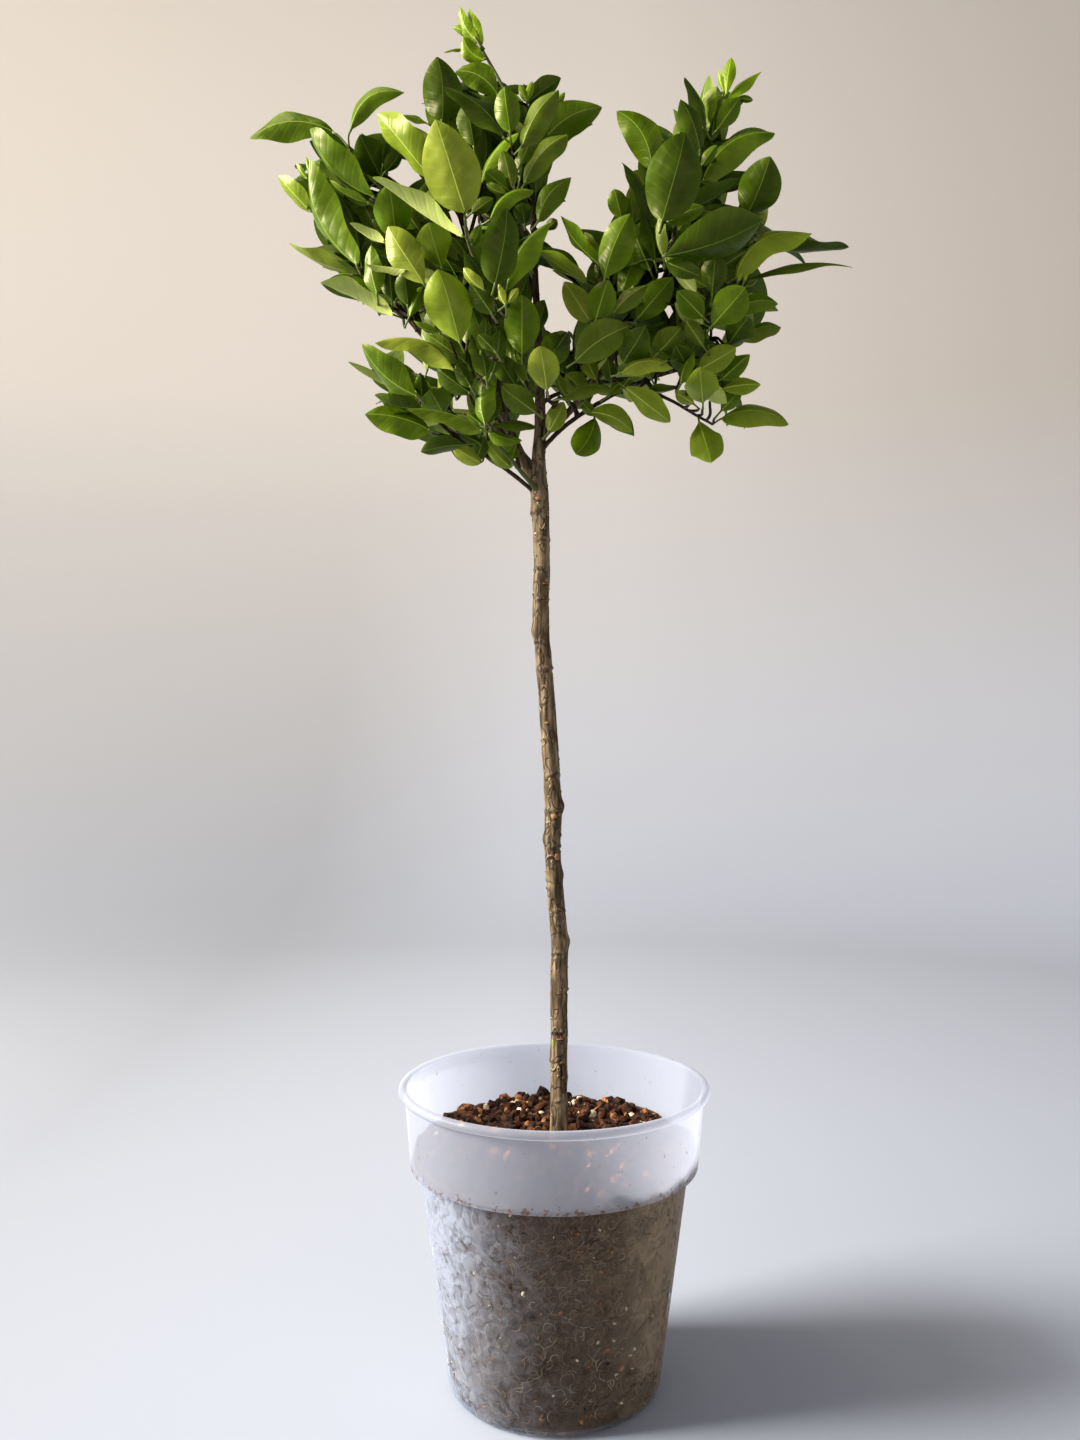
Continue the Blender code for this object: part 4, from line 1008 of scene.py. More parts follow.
def bark_material(name, dark, mid, light, streak_mm, relief, crease_mm, young_above=NOWHERE):
    """Bark: lengthwise streaks of brown and grey with dark pits and with creases darkened as painted shade,
    rough and without moisture.

    It scatters light without a highlight. Above a height in metres it is young and darker. Real wood
    fibres are finer than these streaks, which are drawn as wide as they need to be to show.
    """
    material, tree = new_material(name)
    place = add(tree, "TexCoord").outputs["Object"]
    along = add(tree, "Mapping", {"Vector": place, "Scale": (1.0, 1.0, 0.12)})
    streaks = add(tree, "TexNoise", {"Vector": along, "Scale": per_mm(streak_mm), "Detail": 5.0})
    patches = add(tree, "TexNoise", {"Vector": place, "Scale": per_mm(14), "Detail": 3.0})
    ramp = add(tree, "ValToRGB", [streaks])
    stops = ramp.color_ramp.elements
    stops[0].position, stops[1].position = 0.32, 0.68
    stops[0].color, stops[1].color = linear(dark), linear(light)
    stops.new(0.5).color = linear(mid)
    grey_share = add(tree, "MapRange", {"Value": patches, "From Min": 0.5, "From Max": 0.75,
                                        "To Max": 0.5})
    skin = add(tree, "MixRGB", [grey_share, ramp, linear(light)])
    height = add(tree, "SeparateXYZ", [place]).outputs[2]
    young = add(tree, "MapRange", {"Value": height, "From Min": young_above, "From Max": young_above + 0.06,
                                   "To Max": 0.8})
    skin = add(tree, "MixRGB", [young, skin, linear("#2A2213")])
    drawn_out = add(tree, "Mapping", {"Vector": place, "Scale": (1, 1, 0.5)})
    pits = add(tree, "TexVoronoi", {"Vector": drawn_out, "Scale": per_mm(3.2)})
    pit_share = add(tree, "MapRange", {"Value": pits, "From Min": 0.1, "From Max": 0.2,
                                       "To Min": 0.5, "To Max": 0.0})
    skin = add(tree, "MixRGB", [pit_share, skin, linear("#1E140C")])
    winding = add(tree, "Mapping", {"Vector": place, "Scale": (1.0, 1.0, 0.45)})
    crease = squiggles(tree, winding, crease_mm, 0.03)
    # Painted shade: the creases are darkened as if shaded, as well as sunk by the bump.
    crease_painted_shade = add(tree, "Math", [crease, 0.7], operation="MULTIPLY")
    skin = add(tree, "MixRGB", [crease_painted_shade, skin, linear(dark)])
    height = add(tree, "Math", [pit_share, -0.6, streaks], operation="MULTIPLY_ADD")
    height = add(tree, "Math", [crease, -0.8, height], operation="MULTIPLY_ADD")
    bump = add(tree, "Bump", {"Strength": relief, "Distance": 0.7 * MM, "Height": height})
    finish_with(tree, add(tree, "BsdfPrincipled", {"Base Color": skin, "Roughness": 0.78,
                                                   "Specular IOR Level": 0.2,
                                                   "Normal": bump}))
    return material


twig_bark = bark_material("twig_bark_young", "#1A130A", "#2C2414", "#4A3D26", streak_mm=1.2, relief=0.5,
                          crease_mm=5)
petiole_skin = rib_material("petiole_skin", "#46581A", "#6A782A")
GREEN_WOOD = ("tip_shoot", "tip_end", "fc_main", "top_left_end", "fl_left")
TAN_WOOD = ("ru_stem",)
TWIG_FOOT, TWIG_END = 1.25, 0.8  # mm, radius
SWELLING = [1.6, 1.35, 1.15]  # a twig is thicker where it leaves its parent
for name in TWIGS:
    line = limb_lines[name]
    radii = np.linspace(TWIG_FOOT, TWIG_END, len(line))
    radii[: len(SWELLING)] *= SWELLING
    if name in GREEN_WOOD:
        shoots.add(*tube(line, radii, 8), 0)
    elif name in TAN_WOOD:
        shoots.add(*tube(line, radii, 8), 1)
    else:
        twigs.add(*tube(line, radii, 8))
line = limb_lines["tip_shoot"]
shoots.add(*tube(line, np.linspace(1.15, 0.9, len(line)), 8))
twigs.make("twigs_brown", "bark", [twig_bark])
shoots.make("shoots_green", "foliage", [rib_material("shoot_skin", "#3C4A14", "#55561E"),
                                        rib_material("shoot_skin_tan", "#8A6A34", "#A88A4A")],
            ["bough_tip_shoot"])
petioles.make("petioles", "foliage", [petiole_skin])
for tint, heap in leaf_heaps.items():
    heap.make("leaves_" + tint, "foliage", LEAF_FINISHES[tint], MASSES if tint == "mature" else ())

# %% [markdown]
# ## Trunk and boughs
#
# The stem is as thick as a pencil and a half. Its bark is grey-brown with long shallow ridges, small
# dark pits, arched scars where leaves once sat, and knobs where side shoots were pruned away. The
# relief is real, because a bump would leave the stem's outline straight: each point of a finely
# divided tube is moved in or out by noise that is stretched along the stem.

# %% Bark pieces
RIDGE, RIDGE_WIDE, RIDGE_LONG = 0.55, 2.4, 16  # mm
CRACK, CRACK_WIDE, CRACK_LONG = 0.14, 0.9, 3.0
SMOOTH_FROM, SMOOTH_OVER, LEAST_RIDGE = 620, 60, 0.25  # ridges fade over the last mm below a height
TRUNK_KNOBS = [  # height, direction in degrees (0 is right, -90 is the front), size in mm
    (270, -20, 1.6), (311, 0, 0.9), (333, 180, 1.2), (353, -10, 1.8), (460, 190, 1.3), (534, -130, 1.4),
]
KNOB_LENGTH = 4.0
LEAF_SCARS = [  # height of each arched scar and the direction of its middle
    (172, -60), (196, -120), (214, -80), (239, -30), (262, -100), (288, -70), (306, -150), (327, -40),
    (349, -95), (371, -60), (392, -130), (415, -85), (436, -40), (452, -110), (478, -70), (497, -100),
    (515, -60), (531, -120),
]
SCAR_REACH, SCAR_ARCH, SCAR_WIDE = 8, 1.8, 0.9
SCAR_RIM, SCAR_GROOVE, GROOVE_DROP = 0.9, 0.7, 1.9


def trunk_relief(places, outward):
    """Ridges, fine cracks, knobs and arched leaf scars on the trunk, in mm."""
    extra = np.zeros(len(places))
    for i, (place, out) in enumerate(zip(places, outward)):
        x, y, z = place
        rough = min(1.0, max(LEAST_RIDGE, (SMOOTH_FROM - z) / SMOOTH_OVER))
        extra[i] = RIDGE * rough * noise.noise(Vector((x / RIDGE_WIDE, y / RIDGE_WIDE, z / RIDGE_LONG)))
        extra[i] += CRACK * noise.noise(Vector((x / CRACK_WIDE, y / CRACK_WIDE, z / CRACK_LONG)))
        turn = math.atan2(out[1], out[0])
        for height, degrees, size in TRUNK_KNOBS:
            facing = math.cos(turn - math.radians(degrees))
            if facing > 0:
                extra[i] += size * math.exp(-(((z - height) / KNOB_LENGTH) ** 2)) * facing**2
        for height, degrees in LEAF_SCARS:
            facing = math.cos(turn - math.radians(degrees))
            if facing > 0 and abs(z - height) < SCAR_REACH:
                arch = height + SCAR_ARCH * facing
                extra[i] += SCAR_RIM * facing * math.exp(-(((z - arch) / SCAR_WIDE) ** 2))
                extra[i] -= SCAR_GROOVE * facing * math.exp(-(((z - arch + GROOVE_DROP) / SCAR_WIDE) ** 2))
    return extra


def bough_relief(places, outward):
    """Shallow ridges along a bough."""
    return np.array([0.22 * noise.noise(Vector((x / 1.4, y / 1.4, z / 6))) for x, y, z in places])


OLD_WOOD = ("left_main", "right_upper")
YOUNG_WOOD = ("left_mid",)
STEM_STEP = 0.9  # mm between rings of the stem, close enough to carry its relief
STEM_SIDES = 56
FORK_RADIUS = 4.1
FOOT_SWELL, SWELL_LENGTH = 0.5, 5.0  # a bough is half as thick again at its foot, over about 5 mm
bark = Heap()
trunk_line = smooth_line(TRUNK_MARKS + [(*BOUGHS["leader"][2][0], FORK_RADIUS)], STEM_STEP)
leader_line = smooth_line(BOUGHS["leader"][2], STEM_STEP)
leader_radii = limb_radii(*BOUGHS["leader"][:2], len(leader_line))
stem = np.concatenate([trunk_line[:, :3], leader_line[1:]])
stem_radii = np.concatenate([trunk_line[:, 3], leader_radii[1:]])
bark.add(*tube(stem, stem_radii, STEM_SIDES, trunk_relief))
for name in WOODY_BOUGHS[1:]:  # the first, the leader, is already the stem's upper end
    line = limb_lines[name]
    travelled = np.arange(len(line)) * LINE_STEP
    radii = limb_radii(*BOUGHS[name][:2], len(line))
    radii = radii * (1 + FOOT_SWELL * np.exp(-((travelled / SWELL_LENGTH) ** 2)))
    wood = 0 if name in OLD_WOOD else 2 if name in YOUNG_WOOD else 1
    bark.add(*tube(line, radii, 16, bough_relief), wood)
trunk_bark = bark_material("trunk_bark", "#2A2013", "#5A4A34", "#8E7B60", streak_mm=2.4, relief=1.0,
                           crease_mm=7, young_above=0.585)
green_wood = rib_material("young_wood_green", "#4C5A1C", "#3A3A18")
bark.make("bark", "bark", [trunk_bark, twig_bark, green_wood],
          ["trunk", *("bough_" + name for name in WOODY_BOUGHS)])

# %% [markdown]
# ## Marks on the bark
#
# A citrus stem is covered with small marks: round pores with a dark mouth, curved scars where leaves
# dropped, and flakes of orange inner bark at the nodes. Each scar is a pale line with a dark one below
# it, a painted highlight and a painted shadow, and each flake has a dark strip below it as its painted
# shadow. They are small meshes half sunk in the bark, because they stand out more than any bump would.

# %% Bark marks
PORES = 110
PORE_HEIGHTS = (160, 575)
SCARS = 30
SCARS_FROM, SCARS_SPAN = 162, 412
SCAR_POINTS = 13
PLATE_POINTS = 14
STEM_RADIUS = 5  # mm, near enough to turn a width into degrees
FLAKES = [  # height, direction in degrees, width and height in mm
    (541, -100, 4.5, 3.0), (489, -60, 5.0, 1.0), (347, -85, 4.5, 3.4), (322, -60, 4.0, 5.0),
    (239, -80, 5.5, 0.8), (211, -80, 5.5, 0.8), (404, -100, 3.0, 1.6), (566, -80, 3.5, 1.6),
]
DARK_MOUTH_AND_SHADOW, PALE_RIM_AND_HIGHLIGHT, INNER_BARK, MOSS = range(4)  # finishes, in the order of their materials


def around(radius, turn):
    """The (x, y) at this radius and angle about an upright axis."""
    return radius * math.cos(turn), radius * math.sin(turn)


def on_trunk(height, degrees, lift=0.0):
    """A place on the trunk's skin, or this far above it."""
    near = int(np.abs(stem[:, 2] - height).argmin())
    out = np.array([*around(1.0, math.radians(degrees)), 0.0])
    centre = np.array([stem[near, 0], stem[near, 1], height])
    reach = stem_radii[near]
    reach += trunk_relief([centre + out * reach], [out])[0]
    return centre + out * (reach + lift)


def plate(height, degrees, wide, tall, thick):
    """A thin bulging scale that follows the bark, with a ragged edge."""
    count = PLATE_POINTS
    rim = []
    ring = []
    for step in range(count):
        turn = math.tau * step / count
        ragged = dice.uniform(0.75, 1.15)
        aside = math.degrees(wide / 2 * ragged * math.cos(turn) / STEM_RADIUS)
        above = tall / 2 * ragged * math.sin(turn)
        rim.append(on_trunk(height + above, degrees + aside, -0.1))
        ring.append(on_trunk(height + above * 0.6, degrees + aside * 0.6, thick * 0.8))
    points = [*rim, *ring, on_trunk(height, degrees, thick), on_trunk(height, degrees, -1.0)]
    faces = []
    for step in range(count):
        nxt = (step + 1) % count
        faces += [[step, nxt, count + nxt, count + step], [count + step, count + nxt, 2 * count],
                  [nxt, step, 2 * count + 1]]
    return points, faces


marks = Heap()
dice.seed(SEED + 1)
for number in range(PORES):
    height = dice.uniform(*PORE_HEIGHTS)
    degrees = dice.uniform(0, 360)
    size = dice.triangular(0.7, 1.7, 0.9)
    tall = size * dice.uniform(0.8, 1.8)
    marks.add(*plate(height, degrees, size * 1.9, tall * 1.7, 0.3), PALE_RIM_AND_HIGHLIGHT)
    marks.add(*plate(height, degrees, size * 1.1, tall, 0.5), DARK_MOUTH_AND_SHADOW)
along_scar = np.linspace(-1, 1, SCAR_POINTS)
for number in range(SCARS):
    height = SCARS_FROM + SCARS_SPAN * (number + dice.uniform(0.1, 0.9)) / SCARS
    degrees = dice.uniform(0, 360)
    half = dice.uniform(16, 42)
    rise = dice.choice([-1, 1, 1]) * dice.uniform(1.2, 4.2)
    lean = dice.uniform(-1.5, 1.5)
    # Painted highlight and painted shadow: a pale line on each scar and a dark line just below it.
    for drop, finish, thick in ((0.0, PALE_RIM_AND_HIGHLIGHT, 0.5), (-0.95, DARK_MOUTH_AND_SHADOW, 0.45)):
        line = []
        for share in along_scar:
            arch = height + rise * (1 - share**2) + lean * share + drop
            line.append(on_trunk(arch, degrees + half * share))
        marks.add(*tube(line, thick * (1 - 0.7 * along_scar**2), 6), finish)
for height, degrees, wide, tall in FLAKES:
    marks.add(*plate(height, degrees, wide, tall, 0.5), INNER_BARK)
    # Painted shadow: a dark strip just below each flake.
    marks.add(*plate(height - tall * 0.6, degrees + 4, wide * 0.8, 1.0, 0.6), DARK_MOUTH_AND_SHADOW)
marks.add(*plate(208, -135, 2.4, 6.0, 0.4), MOSS)
mouth_and_shadow_skin = rib_material("bark_pore_and_painted_shadow", "#1B120B", "#33241A")
rim_and_highlight_skin = rib_material("bark_pale_rim_and_painted_highlight", "#A88E64", "#846C46")
inner_bark = rib_material("bark_inner_orange", "#A87448", "#80593A")
moss = rib_material("bark_algae_green", "#6E8A2A", "#8A9A3A")
marks.make("bark_marks", "bark", [mouth_and_shadow_skin, rim_and_highlight_skin, inner_bark, moss])

# %% [markdown]
# ## Turned shapes
#
# The pot is round, and the root ball takes the pot's own shape, because the mix was pressed into it.
# Both could be made by a Screw modifier. Here a function turns an outline, so that it can also lift
# each point of the mix to the height of an uneven soil.

# %% Pot sizes and turning
POT_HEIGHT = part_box("pot")[1].z / MM
RIM_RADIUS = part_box("pot")[1].x / MM
BEAD = 2.7
COLLAR_TOP, COLLAR_FOOT = 91.3, 87.6
STEP_HEIGHT, STEP_DROP = 136.0, 2.0
BODY_TOP, FOOT, CORNER = 81.8, 65.2, 8.0
WALL = 1.5
SOIL_EDGE, SOIL_TILT, SOIL_MOUND = 144.5, 4.5, 5.0
SEAT_HEIGHT = 148.0  # where the mix meets the stem
BIG_LUMP, BIG_LUMP_WIDE = 1.6, 22
SMALL_LUMP, SMALL_LUMP_WIDE = 2.0, 6
CORNER_STEPS = 6


def pot_outside(inset=0.0):
    """Radius and height up the outside of the pot, moved in by the inset."""
    corner = [(FOOT - CORNER, inset)]
    for step in range(1, CORNER_STEPS + 1):
        x, z = around(CORNER - inset, math.radians(-90 + 15 * step))
        corner.append((FOOT - CORNER + x, CORNER + z))
    below_step = (BODY_TOP - inset, STEP_HEIGHT - STEP_DROP + inset)
    above_step = (COLLAR_FOOT - inset, STEP_HEIGHT + inset)
    return [(0.0, inset), *corner, below_step, above_step, (COLLAR_TOP - inset, POT_HEIGHT - 2 * BEAD)]


def turned_solid(profile, segments, lift=None):
    """Points and faces of a shape turned about Z from (radius, height) pairs.

    lift(x, y, height) may give each point a height of its own.
    """
    points = []
    faces = []
    rings = []
    for radius, height in profile:
        count = segments if radius > 1e-6 else 1
        rings.append(range(len(points), len(points) + count))
        for step in range(count):
            x, y = around(radius, math.tau * step / segments)
            points.append((x, y, lift(x, y, height) if lift else height))
    for low, high in zip(rings, rings[1:]):
        for step in range(segments):
            nxt = (step + 1) % segments
            below = [low[step % len(low)], low[nxt % len(low)]]
            above = [high[nxt % len(high)], high[step % len(high)]]
            faces.append(list(dict.fromkeys(below + above)))  # at the axis, two corners are one
    return points, faces


def soil_height(x, y):
    """Height of the top of the mix: a low mound round the trunk, higher at the back, and lumpy."""
    out = min(1.0, math.hypot(x, y) / BODY_TOP)
    mound = SOIL_MOUND * (1 - out**2) * (1.0 if y > 0 else 0.6)
    lumps = BIG_LUMP * noise.noise(Vector((x, y, 0)) / BIG_LUMP_WIDE)
    lumps += SMALL_LUMP * noise.noise(Vector((x, y, 9)) / SMALL_LUMP_WIDE)
    return SOIL_EDGE + SOIL_TILT * y / BODY_TOP + mound + lumps


INNER_FOOT = FOOT - WALL
INNER_TOP = BODY_TOP - WALL


def wall_radius(height):
    """Inner radius of the pot's body at a height."""
    share = np.clip((height - CORNER) / (STEP_HEIGHT - STEP_DROP - CORNER), 0, 1)
    return INNER_FOOT + (INNER_TOP - INNER_FOOT) * share


# %% [markdown]
# ## Potting mix
#
# The mix is damp peat with composted bark and perlite, crumbly and dull. Noise in two tones with a bump
# is enough for crumbs this small. Where the mix lies against the wall it shows as a brown-grey felt of
# fine roots, drawn as the lines along which a noise crosses its middle value.

# %% Potting mix materials
def mix_material(name, dark, light, grain_mm, roughness):
    """Damp peat, chip or grain: a crumbly, dull surface in two tones."""
    material, tree = new_material(name)
    place = add(tree, "TexCoord").outputs["Object"]
    grains = add(tree, "TexNoise", {"Vector": place, "Scale": per_mm(grain_mm), "Detail": 6.0,
                                    "Roughness": 0.65})
    share = add(tree, "MapRange", {"Value": grains, "From Min": 0.42, "From Max": 0.7})
    skin = add(tree, "MixRGB", [share, linear(dark), linear(light)])
    bump = add(tree, "Bump", {"Strength": 0.8, "Distance": 0.8 * MM, "Height": grains})
    finish_with(tree, add(tree, "BsdfPrincipled", {"Base Color": skin, "Roughness": roughness,
                                                   "Specular IOR Level": 0.2,
                                                   "Normal": bump}))
    return material


def felt_material(name):
    """Mix full of fine roots, as it lies against the wall: dark crumbs under a felt of pale hairs.

    Real root hairs are far finer than these lines, which are as wide as they need to be to show.
    """
    material, tree = new_material(name)
    place = add(tree, "TexCoord").outputs["Object"]
    grains = add(tree, "TexNoise", {"Vector": place, "Scale": per_mm(7), "Detail": 5.0})
    skin = add(tree, "MixRGB", [grains, linear("#33241A"), linear("#705641")])
    fine = squiggles(tree, place, 5.0, 0.035)
    coarse = squiggles(tree, place, 9.0, 0.03)
    either = add(tree, "Math", [fine, coarse], operation="MAXIMUM")
    hairs = add(tree, "Math", [either, 0.6], operation="MULTIPLY")
    skin = add(tree, "MixRGB", [hairs, skin, linear("#8C7C62")])
    # Painted shade: the felt darkens towards the bottom of the pot.
    height = add(tree, "SeparateXYZ", [place]).outputs[2]
    low_painted_shade = add(tree, "MapRange", {"Value": height, "From Max": 0.11, "To Min": 0.7, "To Max": 0.0})
    skin = add(tree, "MixRGB", [low_painted_shade, skin, linear("#1E130B")])
    finish_with(tree, add(tree, "BsdfPrincipled", {"Base Color": skin, "Roughness": 0.85,
                                                   "Specular IOR Level": 0.2}))
    return material


# The peat's dark tone is near black: damp peat, and painted shade in the gaps between the crumbs.
peat = mix_material("potting_mix_peat", "#040201", "#62381C", 5, 0.85)
mix_behind_wall = felt_material("potting_mix_with_fine_roots")
chips = mix_material("composted_bark_chips", "#3E200E", "#C88A54", 4, 0.75)
perlite = mix_material("perlite_grains", "#D6C29C", "#F6EDD8", 2, 0.85)
young_root = mix_material("root_skin_pale", "#7A6A50", "#B4A484", 9, 0.7)
old_root = mix_material("root_skin_brown", "#3E2E20", "#6E5840", 9, 0.7)

# %% Root ball
GAP = 0.8  # mm between the mix and the wall, which the roots fill
BALL_SEGMENTS = 150
SEAT_SHARE = 0.12  # the uneven top ends at this share of its radius, round the stem
side = pot_outside(WALL + GAP)[:-1]
edge = side[-1][0]
top = [(edge * share, SOIL_EDGE) for share in np.linspace(1, SEAT_SHARE, 46)]
points, faces = turned_solid(
    side + top + [(0.0, SEAT_HEIGHT)], BALL_SEGMENTS,
    lambda x, y, height: soil_height(x, y) if height == SOIL_EDGE else height,
)
ball = Heap()
ball.add(points, faces, [0 if len(side) * BALL_SEGMENTS < face[0] else 1 for face in faces])
ball.make("root_ball_body", "potting_mix", [peat, mix_behind_wall], ["root_ball"])

# %% [markdown]
# ## Crumbs
#
# On top lie dark crumbs, bark chips and a few cream grains of perlite, and more are pressed against
# the wall and caught on its step. A particle system could scatter them, but a seeded loop gives the
# same crumbs each time and puts each kind into one mesh.

# %% Crumbs
IN, OUT = 0.5257, 0.8507  # the coordinates of the corners of a ball of twenty triangles
CRUMB_POINTS = np.array([
    (-IN, 0, OUT), (IN, 0, OUT), (-IN, 0, -OUT), (IN, 0, -OUT), (0, OUT, IN), (0, OUT, -IN),
    (0, -OUT, IN), (0, -OUT, -IN), (OUT, IN, 0), (-OUT, IN, 0), (OUT, -IN, 0), (-OUT, -IN, 0),
])
CRUMB_FACES = [
    [0, 1, 4], [0, 4, 9], [9, 4, 5], [4, 8, 5], [4, 1, 8], [8, 1, 10], [8, 10, 3], [5, 8, 3], [5, 3, 2],
    [2, 3, 7], [7, 3, 10], [7, 10, 6], [7, 6, 11], [11, 6, 0], [0, 6, 1], [6, 10, 1], [9, 11, 0],
    [9, 2, 11], [9, 5, 2], [7, 11, 2],
]


def crumb(centre, size, flat):
    """An angular crumb: a knocked-about ball, flattened and turned."""
    points = CRUMB_POINTS * [[dice.uniform(0.65, 1.25)] for point in CRUMB_POINTS]
    points = points * size * np.array([1, dice.uniform(0.5, 1), flat])
    axis = random_way()
    angle = dice.uniform(0, math.pi)
    return np.array([turned(point, axis, angle) for point in points]) + centre, CRUMB_FACES


def kind_of_crumb(peat_share, chips_share, perlite_share):
    """Peat, chips or perlite, picked by these shares."""
    return dice.choices(list(crumb_heaps), [peat_share, chips_share, perlite_share])[0]


LOOSE_CRUMBS, WALL_CRUMBS, STEP_CRUMBS = 1150, 520, 420
STEM_X, STEM_ROOM = 3, 7  # no crumb lies nearer than this to the middle of the stem
FRONT_WALL = 8  # perlite lies behind this y, as it would show through the front wall as bright spots
crumb_heaps = {"peat": Heap(), "chips": Heap(), "perlite": Heap()}
for number in range(LOOSE_CRUMBS):
    out = edge * 0.97 * math.sqrt(dice.random())
    x, y = around(out, dice.uniform(0, math.tau))
    if math.hypot(x - STEM_X, y) < STEM_ROOM:
        continue
    kind = kind_of_crumb(7, 1.9, 1.1 if y > FRONT_WALL else 0)
    size = dice.triangular(0.9, 6.4, 2.2) if kind != "perlite" else dice.triangular(0.7, 4.2, 1.4)
    crumb_heaps[kind].add(*crumb((x, y, soil_height(x, y) + size * 0.35), size, dice.uniform(0.4, 0.9)))
for number in range(WALL_CRUMBS):
    turn = dice.uniform(0, math.tau)
    height = STEP_HEIGHT - 4 - 122 * dice.random() ** 0.8
    kind = kind_of_crumb(4, 3, 2.4)
    size = dice.triangular(0.5, 1.9, 0.8) if kind != "chips" else dice.triangular(0.8, 3.4, 1.4)
    place = (*around(wall_radius(height) - size * 0.4 - 0.2, turn), height)
    crumb_heaps[kind].add(*crumb(place, size, dice.uniform(0.3, 0.6)))
for number in range(STEP_CRUMBS):
    turn = dice.uniform(0, math.tau)
    x, y = around(COLLAR_FOOT - WALL - dice.uniform(1.2, 4.0), turn)
    height = min(soil_height(x, y), STEP_HEIGHT + dice.uniform(1.0, 7.0))
    kind = kind_of_crumb(3, 4, 0)
    crumb_heaps[kind].add(*crumb((x, y, height), dice.triangular(0.5, 1.8, 0.8), dice.uniform(0.5, 0.9)))
CRUMB_PIECES = {
    "peat": ("crumbs_peat", peat),
    "chips": ("crumbs_bark_chips", chips),
    "perlite": ("crumbs_perlite", perlite),
}
for kind, (name, material) in CRUMB_PIECES.items():
    crumb_heaps[kind].make(name, "potting_mix", [material], smooth=False)

# %% [markdown]
# ## Roots against the wall
#
# Roots that reach the wall turn and run along it in short curls. Each is a thin tube whose heading
# wanders as it goes. A texture could draw them, but real threads stand off the mix and catch light.

# %% Root threads
ROOTS = 2400
STRIDE = 1.3  # mm from one point of a root to the next
roots = Heap()
for number in range(ROOTS):
    turn = dice.uniform(0, math.tau)
    height = dice.uniform(10, STEP_HEIGHT - 6)
    heading = dice.uniform(0, math.tau)
    curl = dice.choice([-1, 1]) * dice.uniform(0.05, 0.6)
    steps = dice.randrange(4, 12)
    pale = dice.random() < 0.5
    thick = dice.uniform(0.2, 0.4) if pale else dice.uniform(0.3, 0.6)
    line = []
    for step in range(steps):
        radius = wall_radius(height) - thick - 0.15
        line.append((*around(radius, turn), height))
        heading += curl + dice.uniform(-0.25, 0.25)
        turn += STRIDE * math.cos(heading) / radius
        height = min(STEP_HEIGHT - 4, max(9, height + STRIDE * math.sin(heading)))
    roots.add(*tube(line, thick * np.linspace(1.1, 0.4, steps), 3), 0 if pale else 1)
roots.make("root_threads", "potting_mix", [young_root, old_root])

# %% [markdown]
# ## The pot's plastic
#
# The pot is moulded from natural polypropylene, which is not clear but milky: it lets light through and
# scatters some of it. What lies against the wall shows well, and what is further off is lost in haze.
# A mix of a Transparent and a Translucent shader gives this without the grain of true rough glass. The
# haze and its tint are also painted by side and height, as painted light and painted shade: thicker and
# blue-white on the window's side, thicker at the far right edge, and thinner low down and on the
# window's side of the collar.


